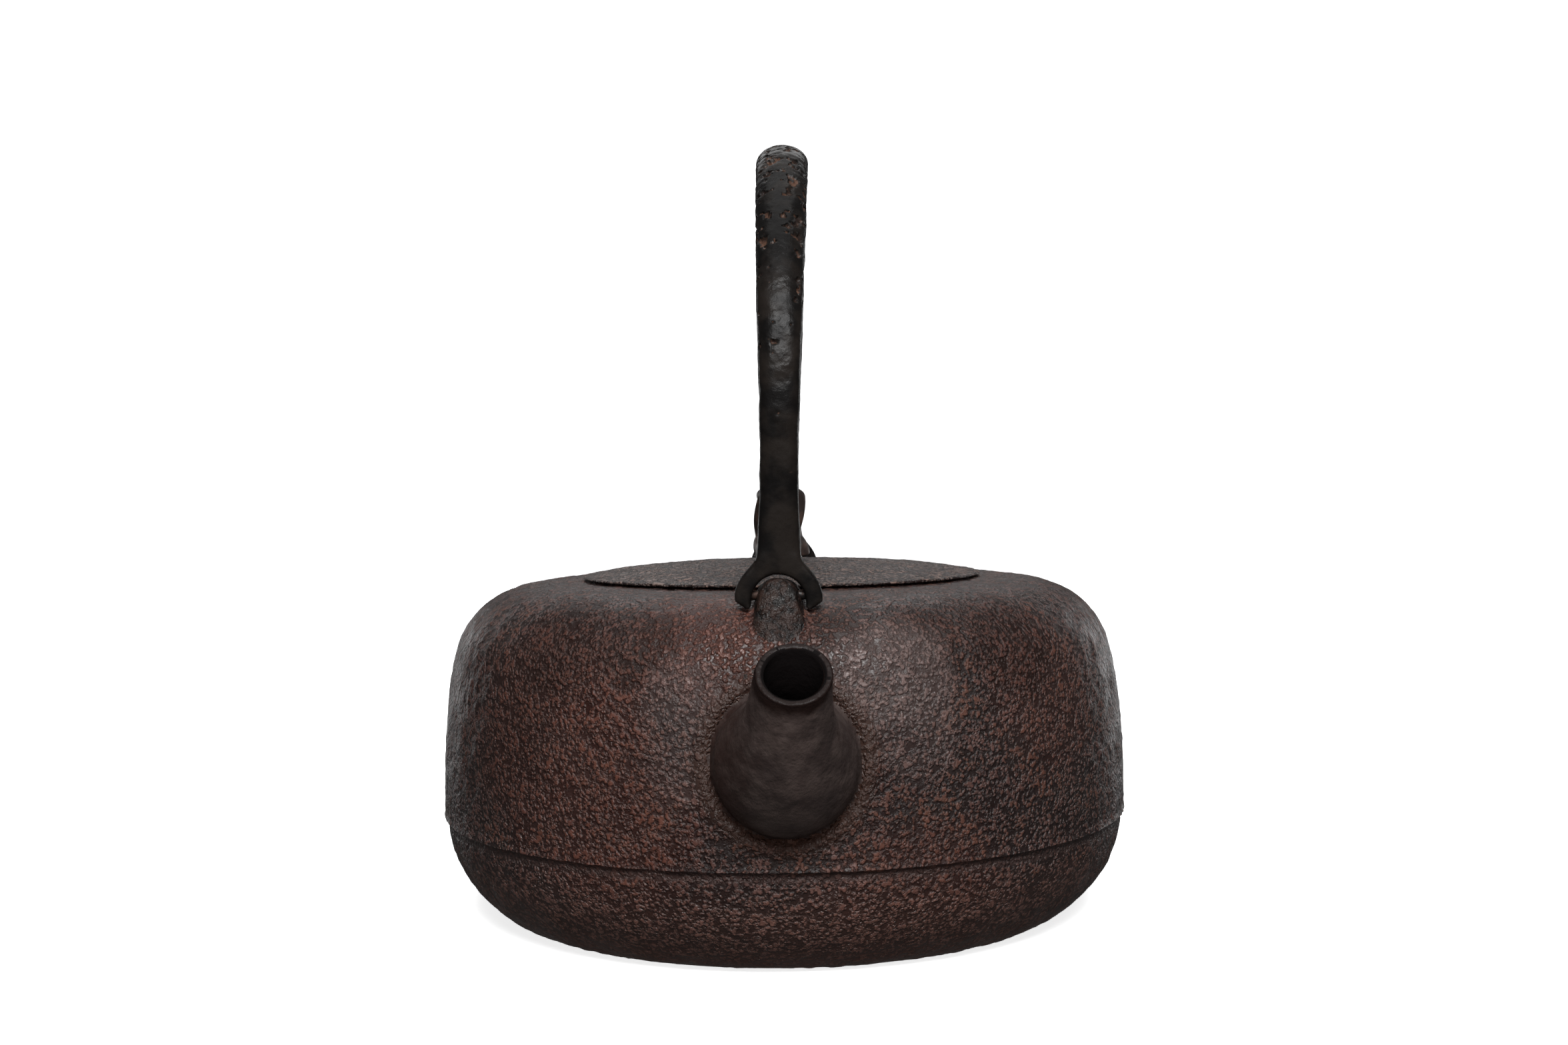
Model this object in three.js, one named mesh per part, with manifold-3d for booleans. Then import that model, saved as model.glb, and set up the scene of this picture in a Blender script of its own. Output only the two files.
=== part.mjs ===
// Cast iron kettle in the Japanese manner. The low round body is cast in one with its spout and two
// lugs. The lid rests in the mouth, its knob is riveted loosely through its middle, and the hollow
// forged bail is pinned across the lugs by its forked ends.
// Millimetres, +Z up. The origin is the centre of the flat base, and the spout points towards -Y.

import * as THREE from 'three';
import { mergeVertices } from 'three/addons/utils/BufferGeometryUtils.js';
import Module from 'manifold-3d';

const wasm = await Module();
wasm.setup();

// Fineness of the facets.
const TURN_FACETS = 56;
const OUTER_STEPS = 6;
const INNER_STEPS = 4;
const LID_STEPS = 3;
const KNOB_FACETS = 30;
const SMALL_FACETS = 16;
const LUG_STEPS = 7;
const FORK_STEPS = 8;

// Gap between two pieces that touch on the real kettle.
const GAP = 0.3;

// Body: a mould-line ridge parts the low bowl from the upright wall, which turns in at the shoulder.
// Pulls shape a curve: how far its two handles stand from its start and its end, [outwards, upwards].
const BASE_RADIUS = 70;
const BOWL_TOP = { radius: 88.9, height: 23.4 };
const RIDGE_FOOT = { radius: 88.6, height: 24.4 };
const RIDGE = { radius: 90, height: 26.4 };
const WALL_FOOT = { radius: 89.7, height: 27.6 };
const SHOULDER = { radius: 84.5, height: 73.6 };
const COLLAR = { radius: 52, height: 86.4 };
const SEAT = { radius: 51.2, height: 86.7 };
const BOWL_PULLS = [[5.8, 0], [-1.1, -12.3]];
const WALL_PULLS = [[0.4, 19.6], [3.3, -5.8]];
const SHOULDER_PULLS = [[-7.9, 14.1], [11.6, -0.8]];

// Hollow of the body, and the mouth that it opens into.
const WALL = 3;
const COLLAR_THICKNESS = 3.5;
const MOUTH_RADIUS = 48;
const HOLLOW_TURN = { radius: SHOULDER.radius - WALL, height: 71.8 };
const HOLLOW_BOWL_PULLS = [[8, 0], [-1.4, -13.6]];
const HOLLOW_WALL_PULLS = [[0.3, 18.4], [3.4, -6.3]];
const HOLLOW_SHOULDER_PULLS = [[-6.9, 12.1], [14, -0.6]];

// Spout: round sections from the wall to the lip. Each gives the distance of its centre from the
// kettle's axis, its height, its outer and bore radii, and how far its plane leans back in degrees.
const SPOUT_SECTIONS = [
  { reach: 84, height: 49.8, outer: 16.7, bore: 11.5, lean: 0 },
  { reach: 92, height: 51.2, outer: 15.8, bore: 10.5, lean: 8 },
  { reach: 98, height: 55.6, outer: 12.8, bore: 8.8, lean: 20 },
  { reach: 102, height: 61.2, outer: 10.2, bore: 7.2, lean: 32 },
  { reach: 105, height: 67.2, outer: 8.9, bore: 6.4, lean: 39 },
  { reach: 107, height: 72.3, outer: 8.3, bore: 6.3, lean: 43 },
];
const SPOUT_STEPS = 9;
const SPOUT_FACETS = 26;
// The spout is set a little off the kettle's middle, and its lip bends further over to +X.
const SPOUT_TURN = THREE.MathUtils.degToRad(0.8);
const SPOUT_SWAY = 1.9;
const BORE_OVERRUN = 6;

// Lugs: two cast noses on the shoulder, in front and behind, under the ends of the bail. Each is a
// round-topped post from the front. The side view is given in steps from the middle of its top,
// [outwards, upwards]: an upright inner face, a rounded top, and a back that runs down the shoulder.
const LUG = { reach: 73.5, top: 90.6, radius: 5.9, flare: 7, flareHeight: 76, foot: 67 };
const LUG_SIDE = {
  innerFoot: [-8.5, -6],
  innerFace: [-7.3, -3.5],
  innerRound: [-6.5, 0],
  top: [-2.5, 0],
  outerRound: [4, 0],
  outerFace: [6, -4.6],
  tailBend: [8, -9.2],
  tail: [10, -14.8],
  underTail: [8.2, -16],
  underBend: [5, -8.5],
};
const PIN = { radius: 1.1, height: 86.7, halfLength: 9.9 };
const HOLE_HALF_LENGTH = 22;

// Bail: upright legs under a half-round arch, which is wider. Each foot flares out over its last
// stretch, whose length is the flare. The section is a
// rolled tube with a seam along the underside: the wall is a share of the width, and the seam angle
// is half of what it takes out of the round, in radians. The whole bail has settled over to +X by a
// small lean about its pins.
const BAIL = { reach: LUG.reach, foot: 94.5, spring: 122 };
const BAIL_WIDTH = { foot: 10.2, leg: 8.8, top: 13.4, flare: 18 };
const BAIL_LEAN = THREE.MathUtils.degToRad(0.9);
const BAIL_DEPTH = { foot: 5.2, leg: 6.6, top: 10 };
const BAIL_STEPS = 34;
const BAIL_CURVE = 6;
const TUBE_WALL = 0.15;
const SEAM_ANGLE = 0.06;

// Fork at each end of the bail, seen along Y. Its prongs end in a slant from the corner to the tip.
const FORK = { top: 98.5, neck: 95.5, widest: 86.6, corner: 85.4, tip: 83.5, thickness: 5.2 };
const FORK_HALF = { neck: BAIL_WIDTH.foot / 2, widest: 10, tip: 7.3 };
const FORK_SLOT = { radius: 6.3, centre: 85.2 };
const FORK_PULLS = [[0, -1.7], [0, 4.2]];

// Lid: a shallow dome with a plain rim that rests on the seat and a skirt that drops into the mouth.
const LID = { radius: 52.7, rim: 87, edge: 0.65, apex: 90.8, underside: 87.6, hole: 2 };
const LID_PULLS = [[-13.7, 2.3], [24.4, 0]];
const UNDERSIDE_EDGE = { radius: 38.7, height: 86.4 };
const SKIRT = { outer: 47.2, inner: 44.7, bottom: 81.5, root: 84.7 };

// Knob: a bud with twisted ribs on a rivet shank. Washers above and below the lid hold it.
const KNOB = { bottom: 92.1, top: 110.1, offset: -0.4 };
const BUD_FOOT = { radius: 7.2, height: 93.5, round: 0.5 };
const BUD_WAIST = { radius: 5.9, height: 99 };
const BUD_BULGE = { radius: 6.5, height: 106.5 };
const WAIST_PULLS = [[-0.1, 1.6], [0.2, -1.8]];
const BULGE_PULLS = [[0, 1.5], [0, -3.4]];
const CROWN_PULLS = [[0, 2.2], [4, 0]];
const RIBS = { count: 5, depth: 0.1, twist: THREE.MathUtils.degToRad(4.8) };
const SHANK_RADIUS = 1.7;
const SHANK_SINK = 2;
const PEEN = { radius: 3.2, foot: 1.9, height: 1.2 };
const WASHER = { thickness: 0.7, seatRadius: 5.6, rivetRadius: 4.8 };

// ---------------------------------------------------------------- solids

// A closed three.js geometry as a manifold solid.
function toSolid(geometry) {
  geometry.deleteAttribute('normal');
  geometry.deleteAttribute('uv');
  const merged = mergeVertices(geometry);
  const { array } = merged.index;
  const triVerts = [];
  for (let i = 0; i < array.length; i += 3) {
    const [a, b, c] = [array[i], array[i + 1], array[i + 2]];
    if (a !== b && b !== c && c !== a) triVerts.push(a, b, c);
  }
  return new wasm.Manifold(new wasm.Mesh({
    numProp: 3,
    vertProperties: new Float32Array(merged.attributes.position.array),
    triVerts: new Uint32Array(triVerts),
  }));
}

// A manifold solid back as a three.js geometry.
function toGeometry(solid) {
  const { vertProperties, triVerts } = solid.getMesh();
  const geometry = new THREE.BufferGeometry();
  geometry.setAttribute('position', new THREE.BufferAttribute(vertProperties, 3));
  geometry.setIndex(new THREE.BufferAttribute(triVerts, 1));
  geometry.computeVertexNormals();
  return geometry;
}

// Turns an outline of (radius, height) points about the Z axis.
function turned(points, facets = TURN_FACETS) {
  return new THREE.LatheGeometry(points, facets).rotateX(Math.PI / 2);
}

// A round bar about the Z axis between two heights.
function bar(radius, bottom, top, facets = SMALL_FACETS) {
  const geometry = new THREE.CylinderGeometry(radius, radius, top - bottom, facets);
  return geometry.rotateX(Math.PI / 2).translate(0, 0, (bottom + top) / 2);
}

// A flat ring about the Z axis.
function ring(inner, outer, bottom, top) {
  const corners = [[inner, bottom], [outer, bottom], [outer, top], [inner, top], [inner, bottom]];
  return turned(corners.map(([radius, height]) => new THREE.Vector2(radius, height)), SMALL_FACETS * 2);
}

// An outline drawn in X and Z, extruded both ways along Y about a given place.
function platedAlongY(shape, thickness, centre, curveSegments) {
  const geometry = new THREE.ExtrudeGeometry(shape, { depth: thickness, bevelEnabled: false, curveSegments });
  return geometry.rotateX(Math.PI / 2).translate(0, centre + thickness / 2, 0);
}

// An outline drawn in Y and Z, extruded both ways along X.
function platedAlongX(shape, thickness, curveSegments) {
  const geometry = new THREE.ExtrudeGeometry(shape, { depth: thickness, bevelEnabled: false, curveSegments });
  return geometry.translate(0, 0, -thickness / 2).rotateZ(Math.PI / 2).rotateY(Math.PI / 2);
}

// Bends a straight piece that runs along Z from 0 to 1. place(t) gives the centre at t and the two
// vectors that one unit of x and one unit of y become there.
function bent(geometry, place) {
  const { position } = geometry.attributes;
  for (let i = 0; i < position.count; i += 1) {
    const { centre, across, outward } = place(position.getZ(i));
    const point = centre.clone();
    point.addScaledVector(across, position.getX(i));
    point.addScaledVector(outward, position.getY(i));
    position.setXYZ(i, point.x, point.y, point.z);
  }
  return geometry;
}

// Carries a path on to a radius and height by a curve with the given pulls.
function curveTo(path, [start, end], radius, height) {
  const { x, y } = path.currentPoint;
  path.bezierCurveTo(x + start[0], y + start[1], radius + end[0], height + end[1], radius, height);
}

// ---------------------------------------------------------------- body

// The body's outside from the base to the collar, swollen by grow.
function outerOutline(grow = 0) {
  const path = new THREE.Path();
  path.moveTo(0, -grow);
  path.lineTo(BASE_RADIUS, -grow);
  curveTo(path, BOWL_PULLS, BOWL_TOP.radius + grow, BOWL_TOP.height);
  path.lineTo(RIDGE_FOOT.radius + grow, RIDGE_FOOT.height);
  path.lineTo(RIDGE.radius + grow, RIDGE.height);
  path.lineTo(WALL_FOOT.radius + grow, WALL_FOOT.height);
  curveTo(path, WALL_PULLS, SHOULDER.radius + grow, SHOULDER.height + grow / 2);
  curveTo(path, SHOULDER_PULLS, COLLAR.radius, COLLAR.height + grow);
  path.lineTo(SEAT.radius, SEAT.height + grow);
  path.lineTo(0, SEAT.height + grow);
  return path.getPoints(OUTER_STEPS);
}

// The hollow inside, with the mouth running up past the seat.
function innerOutline() {
  const path = new THREE.Path();
  path.moveTo(0, WALL);
  path.lineTo(BASE_RADIUS - WALL, WALL);
  curveTo(path, HOLLOW_BOWL_PULLS, WALL_FOOT.radius - WALL, WALL_FOOT.height);
  curveTo(path, HOLLOW_WALL_PULLS, HOLLOW_TURN.radius, HOLLOW_TURN.height);
  curveTo(path, HOLLOW_SHOULDER_PULLS, MOUTH_RADIUS, SEAT.height - COLLAR_THICKNESS);
  path.lineTo(MOUTH_RADIUS, SEAT.height + WALL);
  path.lineTo(0, SEAT.height + WALL);
  return path.getPoints(INNER_STEPS);
}

// A round tapering bar along the spout. key picks the outer or the bore radius, and overrun is how
// far it runs on past both ends.
function spoutBar(key, overrun) {
  const line = new THREE.SplineCurve(SPOUT_SECTIONS.map((s) => new THREE.Vector2(s.reach, s.height)));
  const sizes = new THREE.SplineCurve(SPOUT_SECTIONS.map((s) => new THREE.Vector2(s[key], s.lean)));
  const straight = new THREE.CylinderGeometry(1, 1, 1, SPOUT_FACETS, SPOUT_STEPS);
  straight.rotateX(Math.PI / 2).translate(0, 0, 0.5);
  const curved = bent(straight, (share) => {
    const t = THREE.MathUtils.clamp(share, 0, 1);
    const { x: reach, y: height } = line.getPoint(t);
    const { x: radius, y: lean } = sizes.getPoint(t);
    const angle = THREE.MathUtils.degToRad(lean);
    const normal = new THREE.Vector3(0, -Math.cos(angle), Math.sin(angle));
    const past = overrun * (Number(t === 1) - Number(t === 0));
    return {
      centre: new THREE.Vector3(SPOUT_SWAY * t * t, -reach, height).addScaledVector(normal, past),
      across: new THREE.Vector3(radius, 0, 0),
      outward: new THREE.Vector3(0, Math.sin(angle), Math.cos(angle)).multiplyScalar(radius),
    };
  });
  return curved.rotateZ(SPOUT_TURN);
}

// The rear lug: its front view crossed with its side view.
function lugSolid() {
  const centre = LUG.top - LUG.radius;
  const front = new THREE.Shape();
  front.moveTo(-LUG.flare, LUG.foot);
  front.lineTo(LUG.flare, LUG.foot);
  front.lineTo(LUG.flare, LUG.flareHeight);
  front.lineTo(LUG.radius, centre);
  front.absarc(0, centre, LUG.radius, 0, Math.PI, false);
  front.lineTo(-LUG.flare, LUG.flareHeight);

  const at = (name) => [LUG.reach + LUG_SIDE[name][0], LUG.top + LUG_SIDE[name][1]];
  const side = new THREE.Shape();
  side.moveTo(...at('innerFoot'));
  side.lineTo(...at('innerFace'));
  side.quadraticCurveTo(...at('innerRound'), ...at('top'));
  side.quadraticCurveTo(...at('outerRound'), ...at('outerFace'));
  side.quadraticCurveTo(...at('tailBend'), ...at('tail'));
  side.lineTo(...at('underTail'));
  side.quadraticCurveTo(...at('underBend'), ...at('innerFoot'));

  const post = toSolid(platedAlongY(front, 4 * LUG.flare, LUG.reach, LUG_STEPS));
  const nose = toSolid(platedAlongX(side, 4 * LUG.flare, LUG_STEPS));
  return post.intersect(nose);
}

// A round bar along X through a lug and its fork.
function crossBar(radius, halfLength) {
  const geometry = bar(radius, -halfLength, halfLength).rotateY(Math.PI / 2);
  return geometry.translate(0, -LUG.reach, PIN.height);
}

function kettleBody() {
  const lug = lugSolid();
  const hole = toSolid(crossBar(PIN.radius + GAP, HOLE_HALF_LENGTH));
  return toSolid(turned(outerOutline()))
    .add(toSolid(spoutBar('outer', 0)))
    .add(lug)
    .add(lug.rotate([0, 0, 180]))
    .subtract(toSolid(turned(innerOutline())))
    .subtract(toSolid(spoutBar('bore', BORE_OVERRUN)))
    .subtract(hole)
    .subtract(hole.rotate([0, 0, 180]));
}

// ---------------------------------------------------------------- bail

// The bail's tube, from one foot over the arch to the other.
function bailTube() {
  const section = new THREE.Shape();
  const seam = -Math.PI / 2;
  section.absarc(0, 0, 0.5, seam + SEAM_ANGLE, seam + 2 * Math.PI - SEAM_ANGLE, false);
  section.absarc(0, 0, 0.5 - TUBE_WALL, seam + 2 * Math.PI - SEAM_ANGLE, seam + SEAM_ANGLE, true);
  const straight = new THREE.ExtrudeGeometry(section, {
    depth: 1,
    steps: BAIL_STEPS,
    bevelEnabled: false,
    curveSegments: BAIL_CURVE,
  });
  const leg = BAIL.spring - BAIL.foot;
  const length = 2 * leg + Math.PI * BAIL.reach;
  return bent(straight, (t) => {
    const along = t * length;
    const fromEnd = Math.min(along, length - along);
    const side = along < length / 2 ? -1 : 1;
    const angle = Math.max(0, fromEnd - leg) / BAIL.reach;
    const rise = Math.sin(angle);
    const footShare = THREE.MathUtils.smoothstep(fromEnd, 0, leg);
    const flared = 1 - THREE.MathUtils.smoothstep(fromEnd, 0, BAIL_WIDTH.flare);
    const plainWidth = THREE.MathUtils.lerp(BAIL_WIDTH.leg, BAIL_WIDTH.top, rise);
    const width = plainWidth + (BAIL_WIDTH.foot - BAIL_WIDTH.leg) * flared;
    const legDepth = THREE.MathUtils.lerp(BAIL_DEPTH.foot, BAIL_DEPTH.leg, footShare);
    const normal = new THREE.Vector3(0, side * Math.cos(angle), rise);
    const height = BAIL.foot + Math.min(fromEnd, leg) + BAIL.reach * rise;
    return {
      centre: new THREE.Vector3(0, side * BAIL.reach * Math.cos(angle), height),
      across: new THREE.Vector3(-width, 0, 0),
      outward: normal.multiplyScalar(THREE.MathUtils.lerp(legDepth, BAIL_DEPTH.top, rise)),
    };
  });
}

// The fork at the front foot: a neck that flares into two prongs round an arched slot.
function forkPlate() {
  const shape = new THREE.Shape();
  shape.moveTo(-FORK_HALF.neck, FORK.top);
  shape.lineTo(-FORK_HALF.neck, FORK.neck);
  curveTo(shape, FORK_PULLS, -FORK_HALF.widest, FORK.widest);
  shape.lineTo(-FORK_HALF.widest, FORK.corner);
  shape.lineTo(-FORK_HALF.tip, FORK.tip);
  shape.lineTo(-FORK_SLOT.radius, FORK_SLOT.centre);
  shape.absarc(0, FORK_SLOT.centre, FORK_SLOT.radius, Math.PI, 0, true);
  shape.lineTo(FORK_HALF.tip, FORK.tip);
  shape.lineTo(FORK_HALF.widest, FORK.corner);
  shape.lineTo(FORK_HALF.widest, FORK.widest);
  curveTo(shape, [...FORK_PULLS].reverse(), FORK_HALF.neck, FORK.neck);
  shape.lineTo(FORK_HALF.neck, FORK.top);
  return platedAlongY(shape, FORK.thickness, -LUG.reach, FORK_STEPS);
}

// The prongs are filed to the slope of the shoulder, and pinned through.
function bail() {
  const fork = toSolid(forkPlate())
    .subtract(toSolid(turned(outerOutline(GAP * 2))))
    .subtract(toSolid(crossBar(PIN.radius + GAP, HOLE_HALF_LENGTH)));
  return toSolid(bailTube()).add(fork).add(fork.rotate([0, 0, 180]));
}

// ---------------------------------------------------------------- lid and knob

function lid() {
  const path = new THREE.Path();
  const edgeRound = LID.edge / 2;
  path.moveTo(LID.hole, LID.underside);
  path.lineTo(UNDERSIDE_EDGE.radius, UNDERSIDE_EDGE.height);
  path.quadraticCurveTo(SKIRT.inner, UNDERSIDE_EDGE.height, SKIRT.inner, SKIRT.root);
  path.lineTo(SKIRT.inner, SKIRT.bottom);
  path.lineTo(SKIRT.outer, SKIRT.bottom);
  path.lineTo(SKIRT.outer, LID.rim);
  path.lineTo(LID.radius - edgeRound, LID.rim);
  path.absarc(LID.radius - edgeRound, LID.rim + edgeRound, edgeRound, -Math.PI / 2, Math.PI / 2);
  curveTo(path, LID_PULLS, LID.hole, LID.apex);
  path.lineTo(LID.hole, LID.underside);
  return toSolid(turned(path.getPoints(LID_STEPS)));
}

// The bud's outline, from its foot over a waist and a bulge to a round top.
function budOutline() {
  const path = new THREE.Path();
  path.moveTo(0, KNOB.bottom);
  path.lineTo(BUD_FOOT.radius - BUD_FOOT.round, KNOB.bottom);
  path.quadraticCurveTo(BUD_FOOT.radius, KNOB.bottom, BUD_FOOT.radius, BUD_FOOT.height);
  curveTo(path, WAIST_PULLS, BUD_WAIST.radius, BUD_WAIST.height);
  curveTo(path, BULGE_PULLS, BUD_BULGE.radius, BUD_BULGE.height);
  curveTo(path, CROWN_PULLS, 0, KNOB.top);
  return path.getPoints(INNER_STEPS);
}

// Ribs swell the bud sideways and wind up it; they fade out near the axis.
function twistRibs(geometry) {
  const { position } = geometry.attributes;
  for (let i = 0; i < position.count; i += 1) {
    const [x, y, z] = [position.getX(i), position.getY(i), position.getZ(i)];
    const angle = Math.atan2(y, x) - RIBS.twist * (z - KNOB.bottom);
    const fade = THREE.MathUtils.smoothstep(Math.hypot(x, y), 0, BUD_WAIST.radius);
    const swell = 1 + RIBS.depth * fade * Math.cos(RIBS.count * angle);
    position.setXYZ(i, x * swell, y * swell, z);
  }
  return geometry;
}

function knob() {
  const bud = toSolid(twistRibs(turned(budOutline(), KNOB_FACETS)).translate(KNOB.offset, 0, 0));
  const peenTop = LID.underside - WASHER.thickness - 2 * GAP;
  const shank = toSolid(bar(SHANK_RADIUS, peenTop - PEEN.height / 2, KNOB.bottom + SHANK_SINK));
  const peen = new THREE.CylinderGeometry(PEEN.radius, PEEN.foot, PEEN.height, SMALL_FACETS);
  peen.rotateX(Math.PI / 2).translate(0, 0, peenTop - PEEN.height / 2);
  return bud.add(shank).add(toSolid(peen));
}

// ---------------------------------------------------------------- the object

const MATERIALS = {
  castSkin: { color: 0x4c3a35, roughness: 0.62, metalness: 0.4 },
  lidSkin: { color: 0x55433d, roughness: 0.66, metalness: 0.4 },
  forged: { color: 0x1e1c1c, roughness: 0.45, metalness: 0.6 },
  bronze: { color: 0x3c302d, roughness: 0.42, metalness: 0.8 },
  bareIron: { color: 0x2b2726, roughness: 0.5, metalness: 0.8 },
};

const kettle = new THREE.Group();

function addPiece(name, geometry, look, parent = kettle) {
  const piece = new THREE.Mesh(geometry, new THREE.MeshStandardMaterial(MATERIALS[look]));
  piece.name = name;
  parent.add(piece);
  return piece;
}

addPiece('kettle_body', toGeometry(kettleBody()), 'castSkin');

const leaning = new THREE.Group();
leaning.position.z = PIN.height;
leaning.rotation.y = BAIL_LEAN;
kettle.add(leaning);
addPiece('handle', toGeometry(bail()), 'forged', leaning).position.z = -PIN.height;

addPiece('front_lug_pin', crossBar(PIN.radius, PIN.halfLength), 'bareIron');
addPiece('rear_lug_pin', crossBar(PIN.radius, PIN.halfLength), 'bareIron').rotation.z = Math.PI;
addPiece('lid', toGeometry(lid()), 'lidSkin');
addPiece('knob', toGeometry(knob()), 'bronze');

const seatBottom = LID.apex + GAP;
const seatTop = seatBottom + WASHER.thickness;
addPiece('knob_seat', ring(LID.hole, WASHER.seatRadius, seatBottom, seatTop), 'bareIron');

const rivetTop = LID.underside - GAP;
const rivetBottom = rivetTop - WASHER.thickness;
addPiece('rivet_washer', ring(LID.hole, WASHER.rivetRadius, rivetBottom, rivetTop), 'bareIron');

export default kettle;
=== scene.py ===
"""The looks of a cast iron kettle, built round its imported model.

Lengths are millimetres, but metres for the lights and the floor. Meshes are scaled to metres when
they are made. The origin is the centre of the flat base, +Z is up and the spout points towards -Y.
"""

from math import cos, pi, radians, sin

import bmesh
import bpy
import numpy as np
from mathutils import Matrix, Vector


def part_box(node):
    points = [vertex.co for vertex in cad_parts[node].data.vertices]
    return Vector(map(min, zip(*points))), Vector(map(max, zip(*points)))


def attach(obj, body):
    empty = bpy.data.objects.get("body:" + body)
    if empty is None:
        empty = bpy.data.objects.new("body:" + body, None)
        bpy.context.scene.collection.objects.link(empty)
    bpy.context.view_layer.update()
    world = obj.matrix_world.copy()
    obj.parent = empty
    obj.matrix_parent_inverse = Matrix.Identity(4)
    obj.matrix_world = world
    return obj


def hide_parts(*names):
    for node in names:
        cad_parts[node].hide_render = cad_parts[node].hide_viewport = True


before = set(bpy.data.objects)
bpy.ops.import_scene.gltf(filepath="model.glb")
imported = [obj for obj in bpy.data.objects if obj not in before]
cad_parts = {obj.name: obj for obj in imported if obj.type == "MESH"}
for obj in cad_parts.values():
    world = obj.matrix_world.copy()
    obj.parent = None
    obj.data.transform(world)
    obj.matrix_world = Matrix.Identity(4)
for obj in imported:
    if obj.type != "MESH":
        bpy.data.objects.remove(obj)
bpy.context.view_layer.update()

MM = 0.001


def node_box(name):
    """A CAD node's lowest and highest corners, in millimetres."""
    return [np.array(corner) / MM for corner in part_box(name)]


BODY_HIGH = node_box("kettle_body")[1]
LID_LOW, LID_HIGH = node_box("lid")
BAIL_HIGH = node_box("handle")[1]
KNOB_LOW, KNOB_HIGH = node_box("knob")
PIN_LOW, PIN_HIGH = node_box("front_lug_pin")
SEAT_BOX = node_box("knob_seat")
RIVET_BOX = node_box("rivet_washer")

# Body outline, worked from the ridge, which is the widest place.
RIDGE_RADIUS = BODY_HIGH[0]
RIDGE_HEIGHT = 26.4
RIDGE = (RIDGE_RADIUS, RIDGE_HEIGHT)
BASE_RADIUS = RIDGE_RADIUS - 20
BOWL_TOP = (RIDGE_RADIUS - 1.1, RIDGE_HEIGHT - 3)
WALL_FOOT = (RIDGE_RADIUS - 0.3, RIDGE_HEIGHT + 1.2)
SHOULDER = (RIDGE_RADIUS - 5.5, 73.6)
COLLAR = (RIDGE_RADIUS - 38, 86.4)
SEAT = (RIDGE_RADIUS - 38.8, 86.7)
MOUTH_RADIUS = 48
WALL = 3
COLLAR_THICKNESS = 3.5
BODY_AROUND = 620
BODY_STEP = 0.96
HOLLOW_AROUND = 180
HOLLOW_STEP = 3

# Spout sections: reach from the axis, height, outer and bore radius, lean in degrees.
SPOUT_SECTIONS = np.array([
    (84, 49.8, 16.7, 11.5, 0),
    (92, 51.2, 15.8, 10.5, 8),
    (98, 55.6, 12.8, 8.8, 20),
    (102, 61.2, 10.2, 7.2, 32),
    (105, 67.2, 8.9, 6.4, 39),
    (107, 72.3, 8.3, 6.3, 43),
])
SPOUT_TURN = radians(0.8)
SPOUT_SWAY = 1.9
SPOUT_ROOT_HEIGHT = 50.7
SPOUT_ROOT_RADIUS = 16.4
SPOUT_SIDE = 30
SPOUT_AROUND = 112
BORE_AROUND = 72
LIP_ROUND = 0.45
LIP_BORE = 6.35

# Lugs and the pins through them.
LUG_REACH = -(PIN_LOW[1] + PIN_HIGH[1]) / 2
PIN_RADIUS = (PIN_HIGH[2] - PIN_LOW[2]) / 2
PIN_HEIGHT = (PIN_HIGH[2] + PIN_LOW[2]) / 2
PIN_HALF = PIN_HIGH[0]
PIN_DOME = 0.05
HOLE_GAP = 0.3
HOLE_HALF = 22

# Bail handle.
BAIL_FOOT = 94.5
BAIL_SPRING = BAIL_HIGH[2] - 5 - LUG_REACH
LEG_LENGTH = BAIL_SPRING - BAIL_FOOT
BAIL_LENGTH = 2 * LEG_LENGTH + pi * LUG_REACH
FOOT_WIDTH = 10.2
LEG_WIDTH = 8.8
TOP_WIDTH = 13.4
FOOT_FLARE = 18
FOOT_DEPTH = 5.2
LEG_DEPTH = 6.6
TOP_DEPTH = 10
TUBE_WALL = 0.16
SEAM_HALF_WIDTH = 0.55
BAIL_RINGS = 300
BAIL_AROUND = 56
FORK_TOP = 96.6
FORK_NECK = 95.5
FORK_OUTER = 10.0
FORK_WIDEST = 86.6
FORK_CORNER = 85.4
FORK_SLOT = 6.3
FORK_SLOT_HEIGHT = 85.2
FORK_TIP = 83.5
FORK_THICKNESS = 5.2
FORK_EDGE = 0.7
BAIL_VOXEL = 0.45
BAIL_LEAN = radians(0.9)

# Lid.
LID_RADIUS = LID_HIGH[0]
LID_APEX = LID_HIGH[2]
LID_RIM = 87.0
LID_EDGE = 0.65
LID_UNDERSIDE = 87.6
LID_HOLE = 2.0
SKIRT_OUTER = 47.2
SKIRT_INNER = 44.7
SKIRT_BOTTOM = LID_LOW[2]
LID_AROUND = 440
LID_STEP = 0.62


# ---- curves and meshes

def bezier(a, b, c, d, step=0.25):
    """Points on a cubic curve from a to d, about step apart."""
    corners = np.array([a, b, c, d])
    count = max(4, int(np.linalg.norm(np.diff(corners, axis=0), axis=1).sum() / step))
    t = np.linspace(0, 1, count)[:, None]
    s = 1 - t
    return s**3 * corners[0] + 3 * s**2 * t * corners[1] + 3 * s * t**2 * corners[2] + t**3 * corners[3]


def arc(centre, radius, start, end, count=12):
    """Points on a circular arc, between two angles in degrees."""
    angles = np.radians(np.linspace(start, end, count))
    return np.column_stack([centre[0] + radius * np.cos(angles), centre[1] + radius * np.sin(angles)])


def spaced(points, step):
    """The same line with its points an even step apart."""
    points = np.asarray(points, float)
    lengths = np.r_[0, np.cumsum(np.linalg.norm(np.diff(points, axis=0), axis=1))]
    count = max(2, int(round(lengths[-1] / step)) + 1)
    places = np.linspace(0, lengths[-1], count)
    return np.column_stack([np.interp(places, lengths, column) for column in points.T])


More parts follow.
